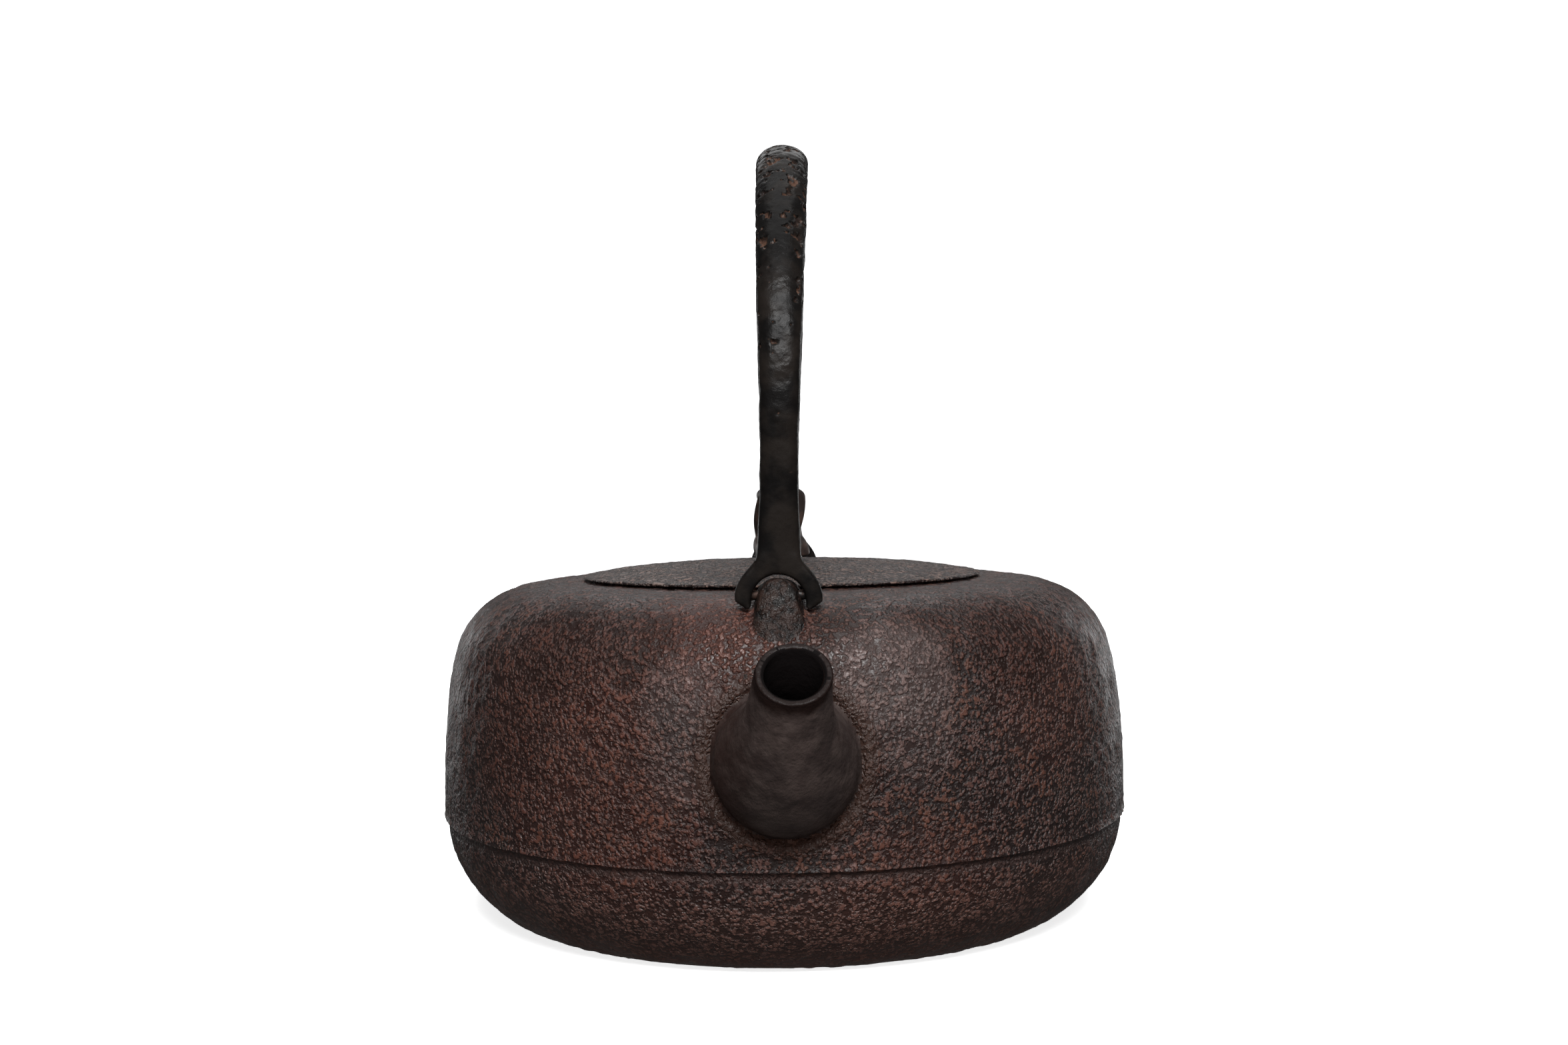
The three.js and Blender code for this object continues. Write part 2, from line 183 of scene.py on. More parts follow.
def chain(*stretches):
    """Stretches of outline joined end to end, without repeated points."""
    points = np.vstack(stretches)
    steps = np.linalg.norm(np.diff(points, axis=0), axis=1)
    return points[np.r_[True, steps > 1e-6]]


def smoothstep(x, low, high):
    """0 below low, 1 above high, smooth between."""
    t = np.clip((x - low) / (high - low), 0, 1)
    return t * t * (3 - 2 * t)


def spline(table, t):
    """A Catmull-Rom curve through the rows of a table, at t from 0 to 1."""
    last = len(table) - 1
    place = np.clip(t, 0, 1) * last
    i = min(int(place), last - 1)
    w = place - i
    p0, p1, p2, p3 = (table[np.clip(i + k, 0, last)] for k in (-1, 0, 1, 2))
    v0, v1 = (p2 - p0) / 2, (p3 - p1) / 2
    cubic = 2 * p1 - 2 * p2 + v0 + v1
    square = -3 * p1 + 3 * p2 - 2 * v0 - v1
    return cubic * w**3 + square * w**2 + v0 * w + p1


def add_object(name, data):
    obj = bpy.data.objects.new(name, data)
    bpy.context.scene.collection.objects.link(obj)
    return obj


def mesh_object(name, points, faces):
    """A mesh object in metres from points in millimetres."""
    mesh = bpy.data.meshes.new(name)
    mesh.from_pydata((np.asarray(points) * MM).tolist(), [], faces)
    mesh.shade_smooth()
    return add_object(name, mesh)


def strip_faces(rows, columns, closed_rows=False):
    """Quads of a grid whose columns wrap round, and whose rows wrap too if asked."""
    row = np.arange(rows if closed_rows else rows - 1)[:, None]
    column = np.arange(columns)[None, :]
    here = row * columns
    there = (row + 1) % rows * columns
    right = (column + 1) % columns
    quads = np.stack([here + column, here + right, there + right, there + column], axis=-1)
    return quads.reshape(-1, 4).tolist()


def loft(name, rings, closed=False):
    """A closed tube through rings of points, capped at both ends unless it closes on itself."""
    rings = np.asarray(rings)
    rows, columns = rings.shape[:2]
    faces = strip_faces(rows, columns, closed)
    if not closed:
        faces.append(list(range(columns))[::-1])
        faces.append(list(range((rows - 1) * columns, rows * columns)))
    return mesh_object(name, rings.reshape(-1, 3), faces)


def revolve(name, outline, around):
    """Turns an outline of (radius, height) points about Z. One that starts and ends on the axis
    makes a solid, and any other is closed on itself."""
    outline = np.asarray(outline, float)
    angles = np.linspace(0, 2 * pi, around, endpoint=False)
    x, y = np.cos(angles), np.sin(angles)
    solid = max(outline[0, 0], outline[-1, 0]) < 1e-9
    rows = outline[1:-1] if solid else outline
    rings = np.array([np.column_stack([r * x, r * y, np.full(around, z)]) for r, z in rows])
    if not solid:
        return loft(name, rings, closed=True)
    count = len(rows) * around
    points = np.vstack([rings.reshape(-1, 3), [0, 0, outline[0, 1]], [0, 0, outline[-1, 1]]])
    faces = strip_faces(len(rows), around)
    top = (len(rows) - 1) * around
    for i in range(around):
        j = (i + 1) % around
        faces.append([count, j, i])
        faces.append([count + 1, top + i, top + j])
    return mesh_object(name, points, faces)


def configure(thing, **settings):
    """Sets properties of a thing."""
    for name, value in settings.items():
        setattr(thing, name, value)
    return thing


def baked_mesh(obj):
    """A new mesh of an object as its modifiers or curve settings make it."""
    graph = bpy.context.evaluated_depsgraph_get()
    return bpy.data.meshes.new_from_object(obj.evaluated_get(graph))


def apply_modifiers(obj):
    """Turns an object's modifiers into its mesh."""
    old = obj.data
    mesh = baked_mesh(obj)
    obj.modifiers.clear()
    obj.data = mesh
    bpy.data.meshes.remove(old)
    return obj


def combine(obj, operation, *tools):
    """Joins tools to a solid or cuts them away, one by one. They are used up."""
    for tool in tools:
        step = obj.modifiers.new(operation, "BOOLEAN")
        configure(step, operation=operation, solver="MANIFOLD", object=tool)
        apply_modifiers(obj)
        bpy.data.objects.remove(tool)


def remesh(obj, voxel, smoothing):
    """Rebuilds overlapping closed shells as one even skin, then relaxes it."""
    step = obj.modifiers.new("skin", "REMESH")
    configure(step, mode="VOXEL", voxel_size=voxel * MM, use_smooth_shade=True)
    configure(obj.modifiers.new("soften", "SMOOTH"), factor=0.5, iterations=smoothing)
    apply_modifiers(obj)


def join(objects):
    """Puts several meshes into the first, unmerged."""
    first, *others = objects
    work = bmesh.new()
    for obj in objects:
        work.from_mesh(obj.data)
    work.to_mesh(first.data)
    work.free()
    for obj in others:
        bpy.data.objects.remove(obj)
    return first


def half_turn(obj):
    """A copy of a piece on the other side of the kettle's axis."""
    copy = add_object("turned", obj.data.copy())
    copy.data.transform(Matrix.Rotation(pi, 4, "Z"))
    return copy


def read_rows(items, key, width=3, kind=float):
    """A property of each of a mesh's vertices, edges or faces, one to a row."""
    flat = np.empty(len(items) * width, kind)
    items.foreach_get(key, flat)
    return flat.reshape(-1, width)


def vertex_places(obj):
    """Vertex positions in millimetres."""
    return read_rows(obj.data.vertices, "co") / MM


def give_attribute(obj, name, values):
    """A number for each vertex, which node trees read by its name."""
    attribute = obj.data.attributes.new(name, "FLOAT", "POINT")
    attribute.data.foreach_set("value", np.asarray(values, np.float32))


def neighbour_means(obj, values):
    """For each vertex, the mean of its neighbours' values."""
    start, end = read_rows(obj.data.edges, "vertices", 2, np.int64).T
    count = np.bincount(start, minlength=len(values)) + np.bincount(end, minlength=len(values))
    means = np.empty_like(values)
    for column in range(values.shape[1]):
        total = np.bincount(start, values[end, column], len(values))
        total += np.bincount(end, values[start, column], len(values))
        means[:, column] = total / np.maximum(count, 1)
    return means


def move_vertices(obj, places):
    """Puts a mesh's vertices at new places, in millimetres."""
    obj.data.vertices.foreach_set("co", (places * MM).ravel())
    obj.data.update()


def relax(obj, weight, passes):
    """Softens a mesh where weight is over 0, as a fillet does."""
    places = vertex_places(obj)
    for _ in range(passes):
        places += 0.6 * weight[:, None] * (neighbour_means(obj, places) - places)
    move_vertices(obj, places)


def mark_wear(obj, start, full):
    """The attribute "wear": 1 on sharp outside edges and 0 on flat or hollow places. start and
    full are heights, in millimetres, of a vertex over its neighbours."""
    places = vertex_places(obj)
    offset = places - neighbour_means(obj, places)
    height = (offset * read_rows(obj.data.vertices, "normal")).sum(axis=1)[:, None]
    for _ in range(3):
        height = (height + neighbour_means(obj, height)) / 2
    give_attribute(obj, "wear", smoothstep(height[:, 0], start, full))


# ---- node trees

class Tree:
    """Short names for the nodes that materials and displacements share."""

    def __init__(self, tree):
        self.tree = tree

    def node(self, kind, inputs=(), **settings):
        """A node with its settings, and its inputs by name or number."""
        node = configure(self.tree.nodes.new(kind), **settings)
        self.feed(node, inputs)
        return node

    def feed(self, node, inputs):
        """Links each input to a socket, or sets its value."""
        for key, value in dict(inputs).items():
            if isinstance(value, bpy.types.NodeSocket):
                self.tree.links.new(value, node.inputs[key])
            else:
                node.inputs[key].default_value = value

    def math(self, operation, a, b=0.0, c=0.0, clamp=False):
        inputs = enumerate((a, b, c))
        return self.node("ShaderNodeMath", inputs, operation=operation, use_clamp=clamp).outputs[0]

    def times(self, a, b):
        return self.math("MULTIPLY", a, b)

    def minus(self, a, b):
        return self.math("SUBTRACT", a, b)

    def scale_add(self, value, factor, more, clamp=False):
        return self.math("MULTIPLY_ADD", value, factor, more, clamp)

    def vector(self, operation, a, b=(0, 0, 0)):
        node = self.node("ShaderNodeVectorMath", enumerate((a, b)), operation=operation)
        return node.outputs["Value" if operation == "DISTANCE" else "Vector"]

    def scaled(self, vector, factor):
        inputs = {0: vector, "Scale": factor}
        return self.node("ShaderNodeVectorMath", inputs, operation="SCALE").outputs["Vector"]

    def parts(self, vector):
        return self.node("ShaderNodeSeparateXYZ", {0: vector}).outputs

    def texture(self, kind, place, size, **inputs):
        return self.node("ShaderNodeTex" + kind, {"Vector": place, "Scale": 1 / size, **inputs})

    def noise(self, place, size, detail=2.0, roughness=0.5):
        """Noise whose blobs are about size millimetres across."""
        return self.texture("Noise", place, size, Detail=detail, Roughness=roughness).outputs[0]

    def cells(self, place, size):
        """Distance to the middle of the nearest cell, cells about size millimetres across."""
        return self.texture("Voronoi", place, size).outputs["Distance"]

    def warped(self, place, size, reach):
        """The place, moved by up to about reach millimetres by noise of that size."""
        noise = self.texture("Noise", place, size, Detail=2.0)
        shift = self.vector("SUBTRACT", noise.outputs["Color"], (0.5, 0.5, 0.5))
        return self.vector("ADD", place, self.scaled(shift, reach))

    def ramp(self, value, low, high, bottom=0.0, top=1.0):
        """A smooth step from bottom at low to top at high."""
        inputs = enumerate((value, low, high, bottom, top))
        return self.node("ShaderNodeMapRange", inputs, interpolation_type="SMOOTHSTEP").outputs[0]

    def mix(self, share, a, b):
        """Colour a where share is 0, b where it is 1."""
        a, b = ((*colour, 1) if isinstance(colour, tuple) else colour for colour in (a, b))
        return self.node("ShaderNodeMix", {0: share, 6: a, 7: b}, data_type="RGBA").outputs[2]

    def attribute(self, name, output="Fac"):
        return self.node("ShaderNodeAttribute", attribute_name=name).outputs[output]


def displace(obj, height):
    """Moves a mesh along its normals by height(tree, place, skin) millimetres, where skin is its
    attribute of that name. The place before the move is kept as the attribute "rest"."""
    group = bpy.data.node_groups.new(obj.name + "_relief", "GeometryNodeTree")
    for way in ("INPUT", "OUTPUT"):
        group.interface.new_socket("Geometry", in_out=way, socket_type="NodeSocketGeometry")
    tree = Tree(group)
    place = tree.scaled(tree.node("GeometryNodeInputPosition").outputs[0], 1 / MM)
    inputs = {"Geometry": tree.node("NodeGroupInput").outputs[0], "Name": "rest", "Value": place}
    keep = tree.node("GeometryNodeStoreNamedAttribute", inputs, data_type="FLOAT_VECTOR", domain="POINT")
    skin = tree.node("GeometryNodeInputNamedAttribute", {"Name": "skin"}, data_type="FLOAT")
    reach = tree.times(height(tree, place, skin.outputs[0]), MM)
    offset = tree.scaled(tree.node("GeometryNodeInputNormal").outputs[0], reach)
    move = tree.node("GeometryNodeSetPosition", {"Geometry": keep.outputs[0], "Offset": offset})
    tree.node("NodeGroupOutput", {0: move.outputs[0]})
    obj.modifiers.new("relief", "NODES").node_group = group
    return apply_modifiers(obj)


def grain(tree, place):
    """Sand-skin grain, from 0 in its pits to 1 on its pebbles. Pits are close in some places and
    rare in others."""
    loose = tree.warped(place, 1.6, 0.8)
    small = tree.scale_add(tree.cells(loose, 1.0), -1.25, 1.0)
    large = tree.scale_add(tree.cells(loose, 1.9), -1.3, 1.0)
    fine = tree.noise(place, 1.1, 3.5, 0.62)
    zone = tree.noise(place, 5, 2, 0.55)
    domes = tree.scale_add(large, 0.3, tree.times(small, 0.45))
    height = tree.scale_add(fine, 1.0, domes)
    height = tree.ramp(tree.scale_add(zone, 0.3, height), 0.7, 1.14)
    pit = tree.ramp(tree.cells(tree.warped(place, 0.7, 0.5), 0.95), 0.36, 0.2)
    pit = tree.times(pit, tree.ramp(tree.noise(place, 2.6, 2, 0.6), 0.42, 0.52))
    return tree.scale_add(pit, -0.75, height, clamp=True)


def cast_height(tree, place, skin):
    """Relief of the casting in millimetres: sand-skin where skin is 1, a hand-smoothed finish
    where it is 0, and none where it is -1."""
    lumps = tree.scale_add(tree.noise(place, 3.2, 2, 0.55), 0.8, -0.42)
    swell = tree.scale_add(tree.noise(place, 16), 0.6, -0.3)
    rough = tree.times(tree.math("ADD", lumps, swell), tree.math("MAXIMUM", skin, 0.0))
    smooth = tree.minus(1.0, tree.math("ABSOLUTE", skin))
    return tree.scale_add(worn_height(tree, place, 1.0), smooth, rough)


def worn_height(tree, place, skin):
    """Shallow unevenness of a hand-finished surface, in millimetres."""
    return tree.times(tree.scale_add(tree.noise(place, 5, 3, 0.55), 0.5, -0.25), skin)


def dent(obj, amount):
    """Makes a small piece evenly and shallowly uneven."""
    give_attribute(obj, "skin", np.full(len(obj.data.vertices), amount))
    return displace(obj, worn_height)


# ---- body

def body_outline(grow=0.0, step=BODY_STEP):
    """The body's outside, from the axis at the base to the axis at the seat."""
    def out(place, x=0.0, z=0.0, up=0.0):
        """A point at x and z from a place, moved out by grow and up by a share of it."""
        return place[0] + x + grow, place[1] + z + grow * up

    bowl = bezier(
        (BASE_RADIUS, -grow), (BASE_RADIUS + 5.8, -grow), out(BOWL_TOP, -1.1, -12.3), out(BOWL_TOP),
    )
    band = [
        out(BOWL_TOP, -0.1, 0.6), out(BOWL_TOP, 0, 1.6), out(BOWL_TOP, 0.1, 2.3),
        out(RIDGE, -0.35, -0.3), out(RIDGE), out(RIDGE, -0.1, 0.5),
    ]
    wall = bezier(
        out(WALL_FOOT), out(WALL_FOOT, 0.4, 19.6), out(SHOULDER, 3.3, -5.8, 0.5), out(SHOULDER, up=0.5),
    )
    shoulder = bezier(
        out(SHOULDER, up=0.5), out(SHOULDER, -7.9, 14.1, 1),
        (COLLAR[0] + 11.6, COLLAR[1] - 0.8 + grow), (COLLAR[0], COLLAR[1] + grow),
    )
    base = spaced([(0, -grow), (BASE_RADIUS, -grow)], 7 * step)
    return chain(
        base, spaced(bowl, step), band, spaced(wall, step), spaced(shoulder, step),
        [(SEAT[0], SEAT[1] + grow), (0, SEAT[1] + grow)],
    )


def hollow_outline():
    """The space inside, with the mouth running up past the seat."""
    floor = [(0, WALL), (BASE_RADIUS - WALL, WALL)]
    bowl = bezier(
        floor[-1], (BASE_RADIUS + 5, WALL),
        (BOWL_TOP[0] - 3.6, BOWL_TOP[1] - 9.4), (WALL_FOOT[0] - WALL, WALL_FOOT[1]),
    )
    wall = bezier(
        bowl[-1], (WALL_FOOT[0] - WALL + 0.3, WALL_FOOT[1] + 18.4),
        (SHOULDER[0] + 0.4, SHOULDER[1] - 8.1), (SHOULDER[0] - WALL, SHOULDER[1] - 1.8),
    )
    shoulder = bezier(
        wall[-1], (SHOULDER[0] - 9.9, SHOULDER[1] + 10.3),
        (COLLAR[0] + 10, COLLAR[1] - COLLAR_THICKNESS - 0.3), (MOUTH_RADIUS, SEAT[1] - COLLAR_THICKNESS),
    )
    mouth = [
        (MOUTH_RADIUS, SEAT[1] - 0.5), (MOUTH_RADIUS + 0.5, SEAT[1] + 0.05),
        (MOUTH_RADIUS + 0.5, SEAT[1] + WALL), (0, SEAT[1] + WALL),
    ]
    parts = [spaced(part, HOLLOW_STEP) for part in (floor, bowl, wall, shoulder)]
    return chain(*parts, mouth)


def spout_ring(t, radius, past, around):
    """A ring of the spout at t, moved past its place along its own normal."""
    reach, height, _, _, lean = spline(SPOUT_SECTIONS, t)
    angle = radians(lean)
    turns = np.linspace(0, 2 * pi, around, endpoint=False)
    across = radius * np.cos(turns) + SPOUT_SWAY * t * t
    up = radius * np.sin(turns)
    y = -reach + up * sin(angle) - past * cos(angle)
    z = height + up * cos(angle) + past * sin(angle)
    x = across * cos(SPOUT_TURN) - y * sin(SPOUT_TURN)
    return np.column_stack([x, across * sin(SPOUT_TURN) + y * cos(SPOUT_TURN), z])


def spout_outside():
    """The spout's outside, up to its rounded lip."""
    places = [(t, spline(SPOUT_SECTIONS, t)[2], 0) for t in np.linspace(0, 0.99, 62)]
    lip = SPOUT_SECTIONS[-1][2]
    for angle in np.radians((0, 30, 60, 90)):
        radius = lip - LIP_ROUND * (1 - cos(angle))
        places.append((1, radius, LIP_ROUND * (sin(angle) - 1) + LIP_ROUND / 2))
    places.append((1, lip * 0.6, LIP_ROUND / 2))
    return loft("spout", [spout_ring(*place, SPOUT_AROUND) for place in places])


def spout_bore():
    """The channel through the spout, flared at the lip."""
    places = [(0, SPOUT_SECTIONS[0][3], -6)]
    for t in np.linspace(0, 0.985, 40):
        bore = spline(SPOUT_SECTIONS, t)[3]
        places.append((t, bore + (LIP_BORE - bore) * smoothstep(t, 0.75, 1), 0))
    for past, flare in ((-0.5, 0.1), (0.0, 0.4), (0.5, 1.1), (3, 1.1)):
        places.append((1, LIP_BORE + flare, past))
    return loft("bore", [spout_ring(*place, BORE_AROUND) for place in places])


# Lug stations: distance from the axis, half width, top height, depth of the groove in the middle.
LUG_STATIONS = np.array([
    (64.6, 3.6, 84.6, 0),
    (65.6, 4.6, 86.4, 0),
    (67.2, 5.4, 88.7, 0),
    (70.0, 5.85, 90.2, 0),
    (73.5, 5.9, 90.6, 0),
    (76.2, 5.95, 90.4, 0),
    (77.6, 6.0, 89.0, 0.1),
    (78.8, 6.7, 86.6, 0.5),
    (79.8, 7.4, 83.8, 1.2),
    (80.8, 7.8, 81.4, 2.0),
    (81.8, 7.2, 79.4, 2.1),
    (82.7, 5.4, 77.7, 1.5),
    (83.4, 2.8, 76.0, 0.6),
])
LUG_MIDDLE = 75
LUG_OVER = 40
LUG_UNDER = 8


def lug():
    """The rear lug: a rounded post that runs out and down the shoulder as a grooved tail."""
    rings = []
    turns = np.linspace(0, pi, LUG_OVER)
    for t in np.linspace(0, 1, 64):
        reach, half, top, groove = spline(LUG_STATIONS, t)
        past = reach - 68
        foot = min(top - 0.8, 83.2 - 0.075 * past**2 - 0.02 * max(0, past) ** 2)
        across = half * np.sign(np.cos(turns)) * np.abs(np.cos(turns)) ** 0.75
        up = foot + (top - foot) * np.sin(turns) ** 0.86
        up -= groove * np.exp(-((across / 1.1) ** 2))
        over = np.column_stack([across, np.full(LUG_OVER, reach), up])
        below = np.linspace(-half, half, LUG_UNDER + 2)[1:-1]
        under = np.column_stack([below, np.full(LUG_UNDER, reach), np.full(LUG_UNDER, foot - 0.4)])
        rings.append(np.vstack([over, under])[::-1])
    return loft("lug", rings)


def lay_across(bar, side):
    """Turns an upright bar along X and moves it into a lug, side -1 for the front one."""
    bar.data.transform(Matrix.Rotation(pi / 2, 4, "Y"))
    bar.data.transform(Matrix.Translation(Vector((0, side * LUG_REACH, PIN_HEIGHT)) * MM))


def drill_pin_holes(obj):
    """Cuts a hole for each pin."""
    side = [(PIN_RADIUS + HOLE_GAP, -HOLE_HALF), (PIN_RADIUS + HOLE_GAP, HOLE_HALF)]
    front = revolve("hole", [(0, -HOLE_HALF), *side, (0, HOLE_HALF)], 48)
    lay_across(front, -1)
    combine(obj, "DIFFERENCE", front, half_turn(front))


def spout_distance(places):
    """How far each place is from the line through the spout's root, and its reach along that line."""
    x, y, z = places.T
    across = x * cos(SPOUT_TURN) + y * sin(SPOUT_TURN)
    reach = x * sin(SPOUT_TURN) - y * cos(SPOUT_TURN)
    return np.hypot(across, z - SPOUT_ROOT_HEIGHT), reach


def in_bore(places, normals):
    """Whether each face, by its middle and normal, looks in at the line through the spout."""
    line = np.array([spout_ring(t, 1.0, 0, 4).mean(axis=0) for t in np.linspace(0, 1, 60)])
    away = np.linalg.norm(places[:, None] - line[None], axis=2)
    nearest = line[away.argmin(axis=1)]
    return (normals * (nearest - places)).sum(axis=1) > 0


def shoulder_height(places):
    """The height of the plain shoulder under or over each place."""
    outline = body_outline()
    top = outline[np.argmax(outline[:, 0]):-1]
    order = np.argsort(top[:, 0])
    return np.interp(np.hypot(places[:, 0], places[:, 1]), top[order, 0], top[order, 1])


def on_lug(places, above):
    """Whether each place is on a lug, at least so far above the shoulder."""
    near = (np.abs(places[:, 0]) < 8) & (np.abs(np.abs(places[:, 1]) - LUG_MIDDLE) < 11)
    return near & (places[:, 2] > shoulder_height(places) + above)


def soften_joints(body):
    """Runs the spout and lugs into the wall as a casting does."""
    places = vertex_places(body)
    x, y, z = places.T
    away, reach = spout_distance(places)
    ring = np.clip(1.3 - np.abs(away - SPOUT_ROOT_RADIUS) / 2.6, 0, 1) * ((reach > 83) & (reach < 91.5))
    rise = np.abs(z - shoulder_height(places))
    foot = np.clip(1.2 - rise / 1.6, 0, 1) * (np.abs(x) < 8.5)
    foot *= (np.abs(np.abs(y) - LUG_MIDDLE) < 12) & (z > 72)
    relax(body, np.maximum(ring, foot), 7)


def cut_spout_border(body):
    """A groove round the spout's root, and a smooth border raised round that."""
    places = vertex_places(body)
    away, reach = spout_distance(places)
    past = away - SPOUT_ROOT_RADIUS
    groove = -0.8 * np.exp(-(((past - 0.8) / 0.6) ** 2))
    border = 0.6 * smoothstep(past, 1.0, 2.0) * (1 - smoothstep(past, 3.4, 5.0))
    radius = np.hypot(places[:, 0], places[:, 1])
    on_wall = (reach > 70) & (radius > SHOULDER[0]) & (radius < RIDGE_RADIUS + 0.5)
    push = (groove + border) * (on_wall & (past > 0.1))
    places[:, :2] *= (1 + push / np.maximum(radius, WALL))[:, None]
    move_vertices(body, places)


def body_skin(places):
    """Which finish each place has, as cast_height reads it."""
    x, y, z = places.T
    radius = np.hypot(x, y)
    turn = np.arctan2(y, x)
    away, reach = spout_distance(places)
    skin = np.where(reach > 0, smoothstep(away, SPOUT_ROOT_RADIUS + 2, SPOUT_ROOT_RADIUS + 7), 1)
    skin *= np.where((reach > RIDGE_RADIUS + 0.6) & (np.abs(x) < SPOUT_SIDE), 0, 1)
    skin = np.maximum(skin, 0.35 * (reach > 100) * smoothstep(z, 69, 74))
    along = np.abs(np.abs(y) - LUG_MIDDLE)
    beside = np.hypot(np.maximum(np.abs(x) - 6.2, 0), np.maximum(along - 9, 0))
    skin *= np.where(z > 70, 0.35 + 0.65 * smoothstep(beside, 0.5, 5), 1)
    skin = np.where(on_lug(places, 0.3), 0.6, skin)
    ragged = 0.3 * np.sin(37 * turn + 1.1) + 0.25 * np.sin(83 * turn + 0.4) + 0.2 * np.sin(151 * turn)
    band = RIDGE_HEIGHT - 1.5 + 0.5 * ragged
    skin *= smoothstep(np.abs(z - band), 0.7, 1.5)
    seat = (radius < SEAT[0] + 0.3) & (z > SEAT[1] - 1)
    inner = (radius < hollow_radius(z) + 0.6) & (z > WALL - 0.4)
    return np.where(seat | (z < 0.3), -1.0, np.where(inner, 0.0, skin))


HOLLOW = hollow_outline()


def hollow_radius(z):
    """The radius of the space inside at a height."""
    side = HOLLOW[1:-2]
    return np.interp(z, side[:, 1], side[:, 0])


def kettle_body():
    body = revolve("kettle_casting", body_outline(), BODY_AROUND)
    rear = lug()
    combine(body, "UNION", spout_outside(), rear, half_turn(rear))
    soften_joints(body)
    cut_spout_border(body)
    combine(body, "DIFFERENCE", revolve("hollow", HOLLOW, HOLLOW_AROUND), spout_bore())
    drill_pin_holes(body)
    give_attribute(body, "skin", body_skin(vertex_places(body)))
    displace(body, cast_height)
    mark_wear(body, 0.06, 0.2)
    return body


# ---- bail

def bail_place(along):
    """Centre, outward direction, width, depth and squareness of the bail, along its length."""
    from_end = min(along, BAIL_LENGTH - along)
    side = -1 if along < BAIL_LENGTH / 2 else 1
    angle = max(0, from_end - LEG_LENGTH) / LUG_REACH
    rise = sin(angle)
    outward = np.array([0, side * cos(angle), rise])
    centre = LUG_REACH * outward + [0, 0, BAIL_FOOT + min(from_end, LEG_LENGTH)]
    width = LEG_WIDTH + (TOP_WIDTH - LEG_WIDTH) * rise
    width += (FOOT_WIDTH - LEG_WIDTH) * (1 - smoothstep(from_end, 0, FOOT_FLARE))
    leg_depth = FOOT_DEPTH + (LEG_DEPTH - FOOT_DEPTH) * smoothstep(from_end, 0, LEG_LENGTH)
    depth = leg_depth + (TOP_DEPTH - leg_depth) * rise
    square = 3.2 - 1.2 * smoothstep(rise, 0.0, 0.7)
    return centre, outward, width, depth, square


def bail_tube():
    """The rolled tube, open along a narrow seam on its inner side."""
    rings = []
    for along in np.linspace(0, BAIL_LENGTH, BAIL_RINGS):
        centre, outward, width, depth, square = bail_place(along)
        gap = SEAM_HALF_WIDTH / (width / 2)
        turns = np.linspace(-pi / 2 + gap, 1.5 * pi - gap, BAIL_AROUND)
        reach = (np.abs(np.cos(turns)) ** square + np.abs(np.sin(turns)) ** square) ** (-1 / square)
        shape = np.column_stack([np.cos(turns), np.sin(turns)]) * reach[:, None] / 2
        inner = shape[::-1] * (1 - 2 * TUBE_WALL)
        loop = np.vstack([shape, inner])
        rings.append(centre + loop[:, :1] * width * [-1, 0, 0] + loop[:, 1:] * depth * outward)
    return loft("handle", rings)


def fork_outline():
    """The fork's outline in X and Z, anticlockwise."""
    neck = FOOT_WIDTH / 2
    left = bezier(
        (-neck, FORK_NECK), (-neck, FORK_NECK - 1.7),
        (-FORK_OUTER, FORK_WIDEST + 4.2), (-FORK_OUTER, FORK_WIDEST), 0.4,
    )
    corners = [
        (-FORK_OUTER, FORK_WIDEST), (-FORK_OUTER, FORK_CORNER),
        (-FORK_SLOT - 1, FORK_TIP), (-FORK_SLOT, FORK_TIP + 0.3), (-FORK_SLOT, FORK_SLOT_HEIGHT),
    ]
    prong = [spaced(corners[i:i + 2], 0.4) for i in range(4)]
    half = chain(spaced([(-neck, FORK_TOP), (-neck, FORK_NECK)], 0.4), left, *prong)
    slot = arc((0, FORK_SLOT_HEIGHT), FORK_SLOT, 180, 0, 40)
    return chain(half, slot, half[::-1] * np.array([-1, 1]))


def fork_plate():
    """The front fork: its outline as a plate with rounded edges."""
    outline = fork_outline()
    curve = configure(
        bpy.data.curves.new("fork", "CURVE"), dimensions="2D", fill_mode="BOTH",
        bevel_depth=FORK_EDGE * MM, bevel_resolution=3, offset=-FORK_EDGE * MM,
        extrude=(FORK_THICKNESS / 2 - FORK_EDGE) * MM,
    )
    line = curve.splines.new("POLY")
    line.points.add(len(outline) - 1)
    for point, (x, z) in zip(line.points, outline):
        point.co = (x * MM, z * MM, 0, 1)
    line.use_cyclic_u = True
    shape = add_object("fork", curve)
    mesh = baked_mesh(shape)
    bpy.data.objects.remove(shape)
    bpy.data.curves.remove(curve)
    mesh.transform(Matrix.Rotation(pi / 2, 4, "X"))
    mesh.transform(Matrix.Translation((0, -LUG_REACH * MM, 0)))
    work = bmesh.new()
    work.from_mesh(mesh)
    bmesh.ops.remove_doubles(work, verts=work.verts, dist=1e-6)
    bmesh.ops.recalc_face_normals(work, faces=work.faces)
    work.to_mesh(mesh)
    work.free()
    return add_object("fork_plate", mesh)


def forged_height(tree, place, skin):
    """Hammer marks all over, and worm-like pits that thin out down the legs, in millimetres."""
    hammer = tree.scale_add(tree.noise(place, 7, 1, 0.4), 0.7, -0.35)
    fine = tree.scale_add(tree.noise(place, 2.2), 0.3, -0.15)
    hammer = tree.times(tree.math("ADD", hammer, fine), skin)
    return tree.scale_add(pits(tree, place), -0.75, hammer)


